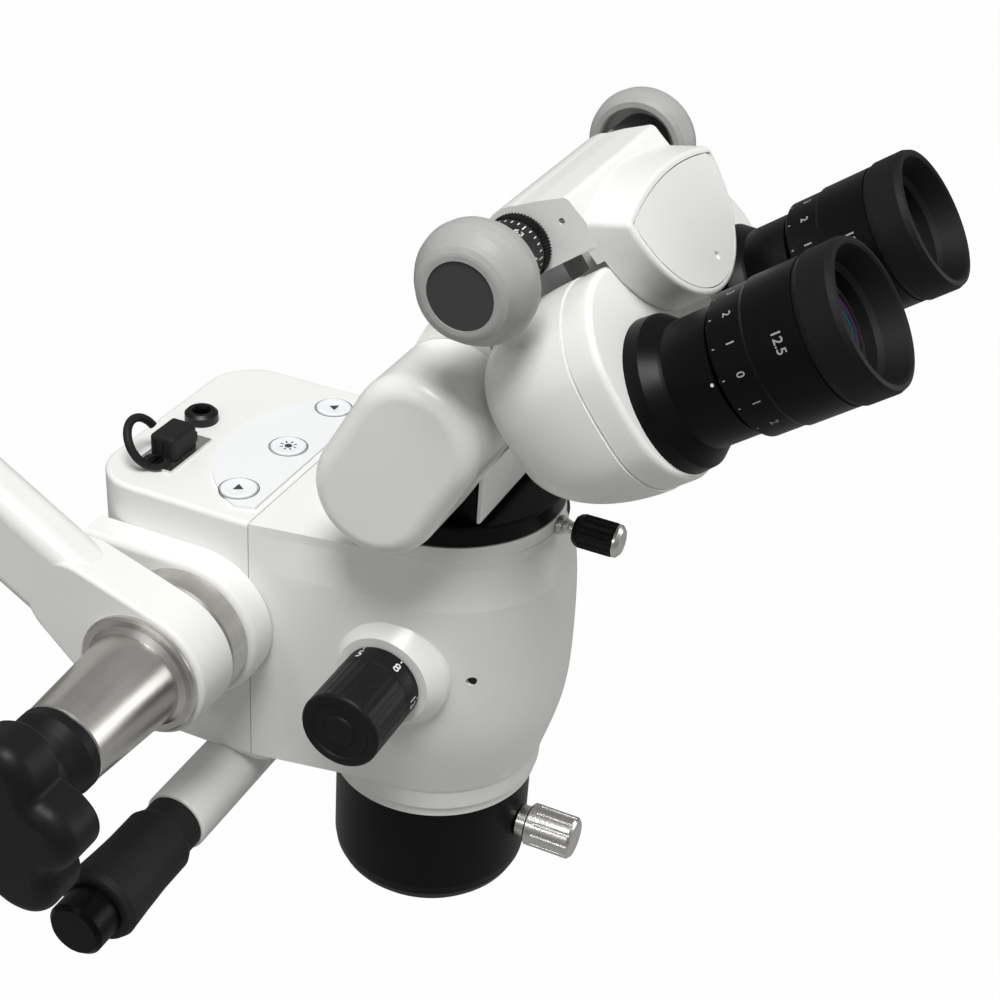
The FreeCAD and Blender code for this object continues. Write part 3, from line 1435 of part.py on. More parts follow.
def diopter_barrel(sign):
    """Outer barrel with the diopter scale at its rear edge and the grip in front."""
    bore = tube_radius - 1.6 + running_gap
    profile = [
        (bore, barrel_back), (barrel_radius - 0.8, barrel_back), (barrel_radius, barrel_back + 0.8),
        (barrel_radius, barrel_back + 10.0), (barrel_radius + 0.5, barrel_back + 11.0),
        (barrel_radius + 0.5, barrel_front), (eye_lens_radius + 1.8, barrel_front),
        (eye_lens_radius + 1.8, barrel_front - 2.0), (bore, barrel_front - 2.0),
    ]
    return view_lathe(profile, sign)


def eyecup(sign):
    """Soft eyecup with a rounded lip, pushed on the barrel's front."""
    profile = [
        (eye_lens_radius + 0.2, barrel_front + running_gap), (barrel_radius + 0.2, barrel_front + running_gap),
        (eyecup_radius, barrel_front + 2.0), (eyecup_radius, -1.2), (eyecup_radius - 0.6, 0.3),
        (eyecup_radius - 1.8, 0.6), (eyecup_radius - 2.4, 0.0), (eyecup_bore, -6.0),
        (eye_lens_radius + 0.2, -7.4),
    ]
    return view_lathe(profile, sign)


def eye_lens(sign):
    """Eye lens with a curved front, in the barrel behind the eyecup."""
    profile = [(0, barrel_front - 1.4), (eye_lens_radius, barrel_front - 1.4), (eye_lens_radius, barrel_front + 0.6)]
    steps = 4
    sag = 1.8
    for index in range(1, steps + 1):
        share = 1.0 - index / steps
        profile.append((eye_lens_radius * share, barrel_front + 0.6 + sag * (1.0 - share * share)))
    return view_lathe(profile, sign)


def pd_shaft():
    """Cross shaft with opposite threads under its two halves."""
    end = cap_end_x - 4.0
    return in_view(Part.makeCylinder(shaft_radius, 2.0 * end, Vector(-end, pd_height, pd_depth), Vector(1, 0, 0)))


def view_lathe_x(profile, sign):
    base = Vector(0, pd_height, pd_depth)
    return in_view(lathe(profile, base, base + Vector(sign, 0, 0)))


def pd_dials():
    """Knobs of the cross shaft: scale dial at the shoulder, hub and dark end disc."""
    start = shoulder_half_length + slip_gap
    profile = [
        (shaft_radius, start), (dial_radius - 0.8, start), (dial_radius, start + 0.8),
        (dial_radius, dial_end_x - slip_gap), (hub_core_radius, dial_end_x - slip_gap),
        (hub_core_radius, cap_end_x - 2.4), (cap_disc_radius - 0.1, cap_end_x - 2.0),
        (cap_disc_radius - 0.1, cap_end_x - 0.4), (0, cap_end_x - 0.4), (0, cap_end_x - 4.0),
        (shaft_radius, cap_end_x - 4.0),
    ]
    return group([view_lathe_x(profile, sign) for sign in (-1, 1)])


def pd_caps():
    """Removable round caps of clear-white silicone over the two knobs."""
    start = cap_start_x
    floor = dial_end_x
    inside = hub_core_radius
    profile = [
        (inside, floor), (cap_mouth_radius, floor), (cap_mouth_radius, start + 0.6),
        (cap_mouth_radius + 0.6, start), (cap_radius - 2.8, start), (cap_radius - 1.5, start + 1.0),
        (cap_radius - 0.4, start + 3.4), (cap_radius, start + 6.0), (cap_radius - 0.4, start + 8.6),
        (cap_radius - 1.6, start + 11.2), (cap_radius - 3.2, cap_end_x - 2.6), (cap_end_radius + 2.2, cap_end_x - 1.0),
        (cap_end_radius + 0.8, cap_end_x - 0.2), (cap_end_radius, cap_end_x),
        (cap_disc_radius, cap_end_x), (cap_disc_radius, cap_end_x - 2.2), (inside, cap_end_x - 2.8),
    ]
    return group([view_lathe_x(profile, sign) for sign in (-1, 1)])


parts = {
    "yoke_arm": yoke_arm(),
    "arm_spigot": arm_spigot(),
    "tension_cone": tension_cone(),
    "star_knob": star_knob(),
    "tilt_axle": tilt_axle(),
    "friction_ring": friction_ring(),
    "friction_washer": friction_washer(),
    "side_boss": side_boss(),
    "front_housing": front_housing(),
    "rear_housing": rear_housing(),
    "bottom_plate": bottom_plate(),
    "housing_screws": housing_screws(),
    "control_panel": control_panel(),
    "control_board": control_board(),
    "down_button": push_button(-button_pitch),
    "light_button": push_button(0.0),
    "up_button": push_button(button_pitch),
    "lamp_housing": lamp_housing(),
    "condenser_tube": condenser_tube(),
    "illumination_optics": illumination_optics(),
    "port_plate": port_plate(),
    "port_plug": port_plug(),
    "plug_strap": plug_strap(),
    "power_jack": power_jack(),
    "magnification_drum": magnification_drum(),
    "magnification_lenses": magnification_lenses(),
    "magnification_knobs": magnification_knobs(),
    "objective_cup": objective_cup(),
    "objective_cell": objective_cell(),
    "objective_lens": objective_lens(),
    "focus_pinion": focus_pinion(),
    "focus_knob": focus_knob(),
    "handle_tubes": handle_tubes(),
    "handle_grips": handle_grips(),
    "handle_end_knobs": handle_end_knobs(),
    "binocular_ring": binocular_ring(),
    "base_block": base_block(),
    "base_apron": base_apron(),
    "clamp_screw": clamp_screw(),
    "clamp_knob": clamp_knob(),
    "swing_pod_left": swing_pod(-1),
    "swing_pod_right": swing_pod(1),
    "hinge_shafts": hinge_shafts(),
    "head_housing": head_housing(),
    "front_cover": front_cover(),
    "pd_shaft": pd_shaft(),
    "pd_dials": pd_dials(),
    "pd_caps": pd_caps(),
}
for side, sign in (("left", -1), ("right", 1)):
    parts["prism_housing_" + side] = prism_housing(sign)
    parts["rhomb_prism_" + side] = rhomb_prism(sign)
    parts["eyepiece_tube_" + side] = eyepiece_tube(sign)
    parts["diopter_barrel_" + side] = diopter_barrel(sign)
    parts["eyecup_" + side] = eyecup(sign)
    parts["eye_lens_" + side] = eye_lens(sign)

os.makedirs("parts", exist_ok=True)
for name, shape in parts.items():
    shape.exportStep("parts/" + name + ".step")
    box = shape.BoundBox
    print(name, len(shape.Solids), "solids", "valid" if shape.isValid() else "INVALID",
          round(shape.Volume), "mm3",
          [round(v, 1) for v in (box.XMin, box.YMin, box.ZMin, box.XMax, box.YMax, box.ZMax)])
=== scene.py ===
# %% [markdown]
# The head of a surgical microscope
#
# The CAD model gives every size, joint and outline of this object. This file gives it looks:
# white enamel, black anodising, turned steel, rubber and coated glass, and the small marks that
# a surgeon reads: the dioptre scale, the eye-distance scale and the magnification numbers.
# Each step has a text cell that says what the real thing is and why it is made this way.

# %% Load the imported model
import math

import bmesh
import bpy
import numpy as np
from mathutils import Matrix, Vector


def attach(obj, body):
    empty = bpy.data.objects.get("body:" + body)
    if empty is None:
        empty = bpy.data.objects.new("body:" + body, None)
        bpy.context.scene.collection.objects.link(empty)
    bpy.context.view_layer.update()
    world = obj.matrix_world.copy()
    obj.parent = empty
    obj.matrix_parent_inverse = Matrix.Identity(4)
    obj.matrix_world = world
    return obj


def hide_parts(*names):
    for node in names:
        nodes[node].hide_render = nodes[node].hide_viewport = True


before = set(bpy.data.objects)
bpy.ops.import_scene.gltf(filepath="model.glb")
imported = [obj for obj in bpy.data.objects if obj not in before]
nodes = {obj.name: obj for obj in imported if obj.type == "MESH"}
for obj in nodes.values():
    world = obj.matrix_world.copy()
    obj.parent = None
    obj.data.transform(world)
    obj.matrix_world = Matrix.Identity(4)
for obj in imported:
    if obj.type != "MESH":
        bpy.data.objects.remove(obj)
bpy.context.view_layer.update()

# %% [markdown]
# The camera
#
# The photograph was taken from the left of the user, above the eyepieces, with a short
# telephoto lens. Its place was solved from the circles and edges of the object, so the camera
# is set by an azimuth, an elevation, a small roll and the point where it stands.

# %% Camera at the photograph's angle
CAMERA_AZIMUTH = math.radians(-68.01)
CAMERA_ELEVATION = math.radians(31.59)
CAMERA_ROLL = math.radians(4.29)
CAMERA_PLACE = Vector((-0.4253, -0.1893, 0.4334))
LENS_MM = 62.17
SENSOR_MM = 36.0


def camera_turn(azimuth, elevation, roll):
    """Columns are the picture's right and up directions and the way back to the camera."""
    level = Vector((math.cos(azimuth), math.sin(azimuth), 0))
    back = Vector((math.sin(azimuth) * math.cos(elevation),
                   -math.cos(azimuth) * math.cos(elevation), math.sin(elevation)))
    rise = back.cross(level)
    right = level * math.cos(roll) + rise * math.sin(roll)
    up = rise * math.cos(roll) - level * math.sin(roll)
    return Matrix((right, up, back)).transposed()


camera_data = bpy.data.cameras.new("camera")
camera_data.lens = LENS_MM
camera_data.sensor_width = SENSOR_MM
camera_data.clip_start = 0.01
camera = bpy.data.objects.new("camera", camera_data)
turn = camera_turn(CAMERA_AZIMUTH, CAMERA_ELEVATION, CAMERA_ROLL)
camera.matrix_world = Matrix.Translation(CAMERA_PLACE) @ turn.to_4x4()
bpy.context.scene.collection.objects.link(camera)
bpy.context.scene.camera = camera

# %% [markdown]
# Shader maths as Python
#
# A material here is a sum of masks: dust in a groove, brushing along a lathe cut, a ring of
# marks. Written as nodes that is a maze, so one small class wraps a node's output and lets
# +, -, * and / add the Math nodes. Colours go through Mix nodes, because a Math node would
# turn them grey.


# %% A socket that understands arithmetic
class Value:
    """One output of a node tree: arithmetic on it adds Math nodes."""

    def __init__(self, tree, socket):
        self.tree = tree
        self.socket = socket

    def math(self, operation, other=None, clamp=False):
        node = self.tree.nodes.new("ShaderNodeMath")
        node.operation = operation
        node.use_clamp = clamp
        for slot, item in enumerate((self, other)):
            if isinstance(item, Value):
                self.tree.links.new(item.socket, node.inputs[slot])
            elif item is not None:
                node.inputs[slot].default_value = item
        return Value(self.tree, node.outputs[0])

    def __add__(self, other):
        return self.math("ADD", other)

    __radd__ = __add__

    def __mul__(self, other):
        return self.math("MULTIPLY", other)

    __rmul__ = __mul__

    def __sub__(self, other):
        return self.math("SUBTRACT", other)

    def __rsub__(self, other):
        return (self * -1.0).math("ADD", other)

    def __truediv__(self, other):
        return self.math("DIVIDE", other)

    def clamped(self):
        return self.math("ADD", 0.0, clamp=True)

    def above(self, edge, soft):
        """0 below the edge and 1 above it, over a band of width soft."""
        return ((self - edge) / soft + 0.5).clamped()

    def below(self, edge, soft):
        return 1.0 - self.above(edge, soft)

    def between(self, low, high, soft):
        return self.above(low, soft) * self.below(high, soft)


class Finish:
    """A material with one Principled shader, built node by node."""

    def __init__(self, name, colour, roughness, **constants):
        self.material = bpy.data.materials.new(name)
        self.material.use_nodes = True
        self.tree = self.material.node_tree
        self.shader = next(n for n in self.tree.nodes if n.type == "BSDF_PRINCIPLED")
        self.set("Base Color", colour)
        self.set("Roughness", roughness)
        for key, item in constants.items():
            self.set(key.replace("_", " "), item)

    def set(self, name, item):
        socket = self.shader.inputs[name]
        if isinstance(item, Value):
            self.tree.links.new(item.socket, socket)
        elif isinstance(item, tuple) and len(item) == 3 and socket.type == "RGBA":
            socket.default_value = (*item, 1.0)
        else:
            socket.default_value = item

    def node(self, kind, settings=None, inputs=None, output=0):
        made = self.tree.nodes.new(kind)
        for key, item in (settings or {}).items():
            setattr(made, key, item)
        for key, item in (inputs or {}).items():
            socket = made.inputs[key]
            if isinstance(item, Value):
                self.tree.links.new(item.socket, socket)
            elif isinstance(item, tuple) and len(item) == 3 and socket.type == "RGBA":
                socket.default_value = (*item, 1.0)
            else:
                socket.default_value = item
        return Value(self.tree, made.outputs[output])

    def place(self):
        """Object coordinates: metres in the row frame, because every piece sits at the origin."""
        return self.node("ShaderNodeTexCoord", output=3)

    def axes(self, vector):
        made = self.tree.nodes.new("ShaderNodeSeparateXYZ")
        self.tree.links.new(vector.socket, made.inputs[0])
        return [Value(self.tree, out) for out in made.outputs]

    def placed(self, centre=(0, 0, 0), turn_xyz=(0, 0, 0), scale=(1, 1, 1)):
        """Object coordinates moved, turned and stretched about a piece's own centre."""
        moved = self.node("ShaderNodeVectorMath", {"operation": "SUBTRACT"}, {0: self.place(), 1: centre})
        return self.node("ShaderNodeMapping", {"vector_type": "POINT"},
                         {"Vector": moved, "Rotation": turn_xyz, "Scale": scale})

    def noise(self, size, detail=3.0, roughness=0.5, vector=None, stretch=(1, 1, 1)):
        """Cloudy value from 0 to 1 with lumps of about size metres."""
        where = vector or self.place()
        if stretch != (1, 1, 1):
            where = self.node("ShaderNodeMapping", {"vector_type": "POINT"},
                              {"Vector": where, "Scale": stretch})
        return self.node("ShaderNodeTexNoise", {"noise_dimensions": "3D"},
                         {"Vector": where, "Scale": 1.0 / size, "Detail": detail, "Roughness": roughness})

    def mix(self, share, first, second):
        made = self.tree.nodes.new("ShaderNodeMix")
        made.data_type = "RGBA"
        for index, item in ((0, share), (6, first), (7, second)):
            if isinstance(item, Value):
                self.tree.links.new(item.socket, made.inputs[index])
            elif isinstance(item, tuple):
                made.inputs[index].default_value = (*item[:3], 1.0)
            else:
                made.inputs[index].default_value = item
        return Value(self.tree, made.outputs[2])

    def bump(self, height, depth, strength=1.0):
        """Relief of a height from 0 to 1 that stands for depth metres."""
        relief = {"Height": height, "Distance": depth, "Strength": strength}
        self.set("Normal", self.node("ShaderNodeBump", {}, relief))


def dress(names, finish):
    """Give CAD nodes one finish."""
    for name in names.split():
        slots = nodes[name].data.materials
        slots.clear()
        slots.append(finish.material)


# %% [markdown]
# Studio
#
# The picture is a catalogue shot on white. A large soft lamp nearly overhead, a little to the
# left and front, makes the tops white; the sides fall into a soft grey and the undersides are
# darker still. A small lamp on the left draws thin bright edges on the black parts, and a weak
# wide one at the front right keeps the body's far flank pale. The floor is far below, as it is
# under a microscope that hangs from its stand.

# %% Floor, backdrop and lamps
FLOOR_Z = -0.42
FLOOR_SIZE = 12.0
WHITE_SHARE = 0.985
FLOOR_ALBEDO = 0.42
WORLD_STRENGTH = 0.30
MIDDLE = (0.0, 0.0, 0.15)
# Name, place, diameter in metres, watts
LAMPS = (
    ("key", (-0.62, -0.22, 1.80), 0.8, 29.0),
    ("edge", (-1.5, 0.5, 0.9), 0.25, 1.6),
    ("right_fill", (0.9, -1.3, 0.35), 0.9, 5.5),
)


def seen_directly(tree):
    """1 where the camera looks at it, also through glass; 0 for the light it gives the object."""
    path = tree.nodes.new("ShaderNodeLightPath")
    seen = Value(tree, path.outputs["Is Camera Ray"]) + Value(tree, path.outputs["Is Transmission Ray"])
    return seen.clamped()


def shared_output(tree, share, lit, white):
    """The output takes the lit shader, and the white one by the share from 0 to 1."""
    mixer = tree.nodes.new("ShaderNodeMixShader")
    tree.links.new(share.socket, mixer.inputs[0])
    tree.links.new(lit.outputs[0], mixer.inputs[1])
    tree.links.new(white.outputs[0], mixer.inputs[2])
    output = next(n for n in tree.nodes if n.type.startswith("OUTPUT"))
    tree.links.new(mixer.outputs[0], output.inputs[0])


def floor_material():
    """Diffuse pale floor that is mostly white light to the camera, so a shadow still shows."""
    material = bpy.data.materials.new("floor")
    material.use_nodes = True
    tree = material.node_tree
    shader = next(n for n in tree.nodes if n.type == "BSDF_PRINCIPLED")
    shader.inputs["Base Color"].default_value = (FLOOR_ALBEDO, FLOOR_ALBEDO, FLOOR_ALBEDO * 0.98, 1)
    shader.inputs["Roughness"].default_value = 0.9
    white = tree.nodes.new("ShaderNodeEmission")
    white.inputs["Strength"].default_value = 1.0
    shared_output(tree, seen_directly(tree) * WHITE_SHARE, shader, white)
    return material


def world_light():
    """Even grey light on the object, and plain white where the camera looks past it."""
    world = bpy.data.worlds.new("studio")
    bpy.context.scene.world = world
    world.use_nodes = True
    tree = world.node_tree
    dim = next(n for n in tree.nodes if n.type == "BACKGROUND")
    dim.inputs["Color"].default_value = (1.0, 0.99, 0.97, 1)
    dim.inputs["Strength"].default_value = WORLD_STRENGTH
    white = tree.nodes.new("ShaderNodeBackground")
    white.inputs["Color"].default_value = (1, 1, 1, 1)
    white.inputs["Strength"].default_value = 1.0
    shared_output(tree, seen_directly(tree), dim, white)


def soft_lamp(name, place, size, power):
    """Round area lamp that faces the middle of the microscope."""
    data = bpy.data.lights.new(name, "AREA")
    data.shape = "DISK"
    data.size = size
    data.energy = power
    lamp = bpy.data.objects.new(name, data)
    lamp.location = place
    lamp.rotation_euler = (Vector(MIDDLE) - Vector(place)).to_track_quat("-Z", "Y").to_euler()
    bpy.context.scene.collection.objects.link(lamp)


half = FLOOR_SIZE / 2
floor_mesh = bpy.data.meshes.new("floor")
floor_corners = [(x, y, FLOOR_Z) for x, y in ((-half, -half), (half, -half), (half, half), (-half, half))]
floor_mesh.from_pydata(floor_corners, [], [(0, 1, 2, 3)])
floor = bpy.data.objects.new("floor", floor_mesh)
floor_mesh.materials.append(floor_material())
bpy.context.scene.collection.objects.link(floor)

world_light()
for lamp_name, lamp_place, lamp_size, lamp_power in LAMPS:
    soft_lamp(lamp_name, lamp_place, lamp_size, lamp_power)
bpy.context.scene.view_settings.view_transform = "Standard"
print("floor at", FLOOR_Z, "m and", len(LAMPS), "lamps")

# %% [markdown]
# White enamel
#
# The castings are sprayed with a satin white enamel, which dries to a faint orange peel of
# about a millimetre. The body is two castings that meet in one plane; the shade in their seam is
# painted as a thin dark line round the body.

# %% White enamel
SEAM_Y = 0.046
SEAM_HALF_WIDTH = 0.00016


def white_enamel(name, with_seam_shade=False):
    """White paint; the housings also get a thin dark line of painted shade in their seam at y = SEAM_Y."""
    finish = Finish(name, (0.86, 0.86, 0.84), 0.34, Coat_Weight=0.25, Coat_Roughness=0.18)
    peel = finish.noise(0.0011, detail=2.0)
    cloud = finish.noise(0.03, detail=4.0)
    colour = finish.mix(cloud, (0.84, 0.84, 0.82), (0.88, 0.88, 0.865))
    if with_seam_shade:
        _, y, _ = finish.axes(finish.place())
        # painted shade: a thin dark band where the gap of the seam would lie in shadow
        seam_shade = y.between(SEAM_Y - SEAM_HALF_WIDTH, SEAM_Y + SEAM_HALF_WIDTH, 0.00012)
        colour = finish.mix(seam_shade * 0.75, colour, (0.16, 0.155, 0.15))
    finish.set("Base Color", colour)
    finish.set("Roughness", cloud * 0.08 + 0.30)
    finish.bump(peel, 0.00003, 0.5)
    return finish


enamel = white_enamel("white_enamel")
dress("front_housing rear_housing", white_enamel("housing_enamel", with_seam_shade=True))
dress("yoke_arm side_boss bottom_plate handle_tubes base_apron swing_pod_left swing_pod_right "
      "head_housing front_cover prism_housing_left prism_housing_right", enamel)


# %% [markdown]
# Black parts
#
# The optics are anodised aluminium, sandblasted so fine that they look satin. Knobs are
# moulded plastic with a coarser grain. Plug, grips and eyecups are rubber that holds a little
# dust. The dials of the cross shaft end in flat discs worn to a dark grey.

# %% Black anodising, moulded plastic and rubber
DIAL_END_X = 0.0675


def black_anodised():
    finish = Finish("black_anodised", (0.003, 0.003, 0.0035), 0.34, Specular_IOR_Level=0.12)
    blast = finish.noise(0.0004, detail=2.0)
    cloud = finish.noise(0.02, detail=3.0)
    finish.set("Roughness", cloud * 0.10 + 0.30)
    finish.set("Base Color", finish.mix(blast, (0.002, 0.002, 0.0024), (0.0045, 0.0045, 0.005)))
    finish.bump(blast, 0.00002, 0.6)
    return finish


def moulded_black():
    finish = Finish("moulded_black", (0.008, 0.008, 0.0085), 0.45, Specular_IOR_Level=0.2)
    grain = finish.noise(0.0007, detail=3.0)
    finish.set("Base Color", finish.mix(grain, (0.005, 0.005, 0.0055), (0.010, 0.010, 0.0105)))
    finish.set("Roughness", grain * 0.15 + 0.38)
    finish.bump(grain, 0.00005, 0.7)
    return finish


def soft_rubber(name, dark, light):
    finish = Finish(name, dark, 0.6, Specular_IOR_Level=0.25)
    grain = finish.noise(0.0005, detail=3.0)
    dust = finish.noise(0.012, detail=5.0, roughness=0.6)
    finish.set("Base Color", finish.mix(dust, dark, light))
    finish.set("Roughness", dust * 0.2 + 0.5)
    finish.bump(grain, 0.00004, 0.6)
    return finish


def dial_black():
    """Black dials whose flat end discs, beyond the milky caps, are worn to a dark grey."""
    finish = Finish("dial_black", (0.006, 0.006, 0.007), 0.4, Specular_IOR_Level=0.35)
    x, _, _ = finish.axes(finish.place())
    end = x.math("ABSOLUTE").above(DIAL_END_X, 0.0004)
    weave = finish.noise(0.0006, detail=2.0)
    disc_colour = finish.mix(weave, (0.040, 0.040, 0.041), (0.062, 0.062, 0.063))
    finish.set("Base Color", finish.mix(end, (0.006, 0.006, 0.007), disc_colour))
    finish.set("Roughness", weave * 0.1 + end * 0.15 + 0.34)
    finish.bump(weave, 0.00003, 0.5)
    return finish


anodised = black_anodised()
moulded = moulded_black()
rubber = soft_rubber("soft_rubber", (0.008, 0.008, 0.0085), (0.017, 0.017, 0.017))
cup_rubber = soft_rubber("eyecup_rubber", (0.002, 0.002, 0.0024), (0.006, 0.006, 0.006))
dials = dial_black()
dress("friction_washer condenser_tube magnification_drum objective_cup objective_cell handle_end_knobs "
      "binocular_ring base_block eyepiece_tube_left eyepiece_tube_right diopter_barrel_left "
      "diopter_barrel_right", anodised)
dress("star_knob magnification_knobs clamp_knob", moulded)
dress("port_plug plug_strap handle_grips", rubber)
dress("eyecup_left eyecup_right", cup_rubber)
dress("pd_dials", dials)


# %% [markdown]
# Metals
#
# A turned part shows fine rings across its axis, left by the lathe. Soft streaks along it are
# painted reflections, lighter and darker bands in the colour. The cone, the axles and the
# friction ring turn about x, the spigot about z, and the bright nickel knob of the fine focus about y.

# %% Metals
TILT_AXIS = (0, 0.062, 0.109)
SPIGOT_AXIS = (0, 0.1995, 0.0)
FOCUS_AXIS = (0, 0, 0.026)


def turned_steel(name, colour, roughness, axis, centre, ring=0.00025):
    """Steel with fine lathe rings across the axis and soft painted reflection streaks along it."""
    finish = Finish(name, colour, roughness, Metallic=1.0)
    stretch = [0.02, 0.02, 0.02]
    stretch[axis] = 1.0
    rings = finish.noise(ring, detail=2.0, vector=finish.placed(centre), stretch=tuple(stretch))
    lengthwise = tuple(0.05 if index == axis else 1.0 for index in range(3))
    # painted reflections: streaks along the axis, lighter and darker in the base colour
    reflection_streak = finish.noise(0.006, detail=2.0, vector=finish.placed(centre), stretch=lengthwise)
    cloud = finish.noise(0.015, detail=3.0)
    dark = tuple(c * 0.55 for c in colour)
    finish.set("Base Color", finish.mix((rings * 0.35 + reflection_streak * 0.9 - 0.1).clamped(), dark, colour))
    finish.set("Roughness", rings * 0.12 + cloud * 0.08 + (roughness - 0.08))
    finish.bump(rings, 0.00002, 0.5)
    return finish


steel_x = turned_steel("steel_turned_about_x", (0.80, 0.78, 0.75), 0.30, 0, TILT_AXIS)
dress("tension_cone tilt_axle friction_ring hinge_shafts pd_shaft", steel_x)
steel_z = turned_steel("steel_turned_about_z", (0.55, 0.53, 0.50), 0.32, 2, SPIGOT_AXIS)
dress("arm_spigot", steel_z)
nickel = turned_steel("bright_nickel", (0.90, 0.89, 0.87), 0.26, 1, FOCUS_AXIS)
dress("focus_knob clamp_screw focus_pinion port_plate", nickel)
blackened = turned_steel("blackened_steel", (0.05, 0.05, 0.052), 0.4, 2, (0, 0, 0))
dress("housing_screws power_jack", blackened)
cast = turned_steel("cast_aluminium", (0.70, 0.71, 0.72), 0.45, 1, (0, 0, 0), ring=0.0006)
dress("lamp_housing", cast)


# %% [markdown]
# Glass, film, silicone and board
#
# Coated lenses look nearly black from outside. The control panel is a pale bluish film, the
# caps of the dials are milky silicone that can be sterilised, and the board inside is green.


# %% Glass, film, silicone and board
def coated_glass():
    finish = Finish("coated_glass", (0.10, 0.12, 0.16), 0.03, IOR=1.6, Coat_Weight=1.0, Coat_Roughness=0.02)
    cloud = finish.noise(0.01, detail=1.0)
    finish.set("Base Color", finish.mix(cloud, (0.010, 0.012, 0.03), (0.03, 0.015, 0.05)))
    return finish


glass = coated_glass()
dress("illumination_optics magnification_lenses objective_lens rhomb_prism_left rhomb_prism_right", glass)


def panel_film():
    finish = Finish("panel_film", (0.85, 0.865, 0.875), 0.42)
    speck = finish.noise(0.0006, detail=3.0)
    finish.set("Base Color", finish.mix(speck, (0.83, 0.845, 0.855), (0.87, 0.885, 0.895)))
    finish.bump(speck, 0.00002, 0.4)
    return finish


film = panel_film()
dress("control_panel down_button light_button up_button", film)


def milky_silicone():
    finish = Finish("milky_silicone", (0.53, 0.53, 0.52), 0.42, Transmission_Weight=0.3, IOR=1.42)
    cloud = finish.noise(0.006, detail=3.0)
    finish.set("Base Color", finish.mix(cloud, (0.50, 0.50, 0.49), (0.56, 0.56, 0.55)))
    finish.set("Roughness", cloud * 0.1 + 0.38)
    return finish


silicone = milky_silicone()
dress("pd_caps", silicone)


def circuit_board():
    finish = Finish("circuit_board", (0.03, 0.16, 0.07), 0.4)
    speck = finish.noise(0.002, detail=2.0)
    finish.set("Base Color", finish.mix(speck.above(0.55, 0.05), (0.02, 0.14, 0.06), (0.06, 0.22, 0.10)))
    return finish


dress("control_board", circuit_board())

# %% [markdown]
# Pieces from arrays
#
# The printed marks, the reeded grips and the soft castings are made here as whole arrays of
# points. A turned part is a profile swept round an axis. A printed mark is a flat outline that
# is rolled onto the cylinder it is printed on. The binocular leans towards the user, so its
# parts are written in its own frame: across, up the view, and towards the eye.

# %% Surfaces from numpy arrays
MM = 0.001
# The binocular's own frame starts in the middle between the two eyecups' rims
VIEW_TILT = math.radians(37.1)
EYE = np.array((0.0, -0.1258093, 0.2576510))
ACROSS = np.array((1.0, 0.0, 0.0))
RISE = np.array((0.0, math.sin(VIEW_TILT), math.cos(VIEW_TILT)))
TOWARDS = np.array((0.0, -math.cos(VIEW_TILT), math.sin(VIEW_TILT)))
HALF_EYES = 35.5
SIDES = (("left", -1), ("right", 1))


def in_view(across, rise, depth):
    """Millimetres in the binocular's own frame become metres in the row frame."""
    across, rise, depth = (np.asarray(v, float)[..., None] * MM for v in (across, rise, depth))
    return EYE + across * ACROSS + rise * RISE + depth * TOWARDS


def quads(rows, columns, closed=True):
    """Faces of a grid of points, row after row; closed joins the last column to the first."""
    here = np.arange(columns if closed else columns - 1)
    right = (here + 1) % columns
    down = np.arange(rows - 1)[:, None] * columns
    corners = (down + here, down + right, down + columns + right, down + columns + here)
    return np.stack(corners, -1).reshape(-1, 4)


def piece(name, points, faces, finish, body):
    """One object with its points in the row frame, riding on a CAD body."""
    mesh = bpy.data.meshes.new(name)
    mesh.from_pydata(np.asarray(points, float).reshape(-1, 3).tolist(), [], faces)
    mesh.polygons.foreach_set("use_smooth", np.ones(len(faces), bool))
    mesh.set_sharp_from_angle(angle=math.radians(32))
    mesh.materials.append(finish.material)
    made = bpy.data.objects.new(name, mesh)
    bpy.context.scene.collection.objects.link(made)
    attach(made, body)
    print(name, len(points), "points", len(faces), "faces")
    return made


def loft(name, rings, finish, body):
    """Closed skin over rings of points (rows, columns, 3), flat at both ends, faces outward."""
    rows, columns = rings.shape[:2]
    points = rings.reshape(-1, 3)
    sides = quads(rows, columns)
    a, b, c, d = (points[sides[:, i]] - points.mean(0) for i in range(4))
    inward = (np.cross(a, b) * c).sum() + (np.cross(a, c) * d).sum() < 0
    first = list(range(columns))[::-1]
    last = list(range((rows - 1) * columns, rows * columns))
    if inward:
        sides, first, last = sides[:, ::-1], first[::-1], last[::-1]
    return piece(name, points, sides.tolist() + [first, last], finish, body)


def turned_rings(profile, centre, axis, reeds=None, segments=120):
    """Rings of a profile (radius, place along the axis) in mm; reeds are (count, depth, low, high)."""
    axis = np.asarray(axis, float)
    start = np.cross(axis, (0.31, 0.52, 0.79))
    start /= np.linalg.norm(start)
    side = np.cross(axis, start)
    angle = np.linspace(0, 2 * math.pi, segments, endpoint=False)
    radius, along = np.array(profile, float).T
    radius = np.repeat(radius[:, None], segments, 1)
    if reeds:
        count, depth, low, high = reeds
        inside = (along >= low) & (along <= high)
        radius[inside] -= depth * (0.5 - 0.5 * np.cos(count * angle)) ** 0.6
    out = np.cos(angle)[:, None] * start + np.sin(angle)[:, None] * side
    return np.asarray(centre) + MM * (along[:, None, None] * axis + radius[..., None] * out)


# %% [markdown]
# Printing on cylinders and flats
#
# The marks on the real knobs are engraved and filled with white paint, or printed. Here each
# is its own thin skin a few hundredths of a millimetre above the surface. Numerals come from
# the plain built-in font; they are cut into small cells, so that they bend round the knob.

# %% Marks
LIFT = 0.04


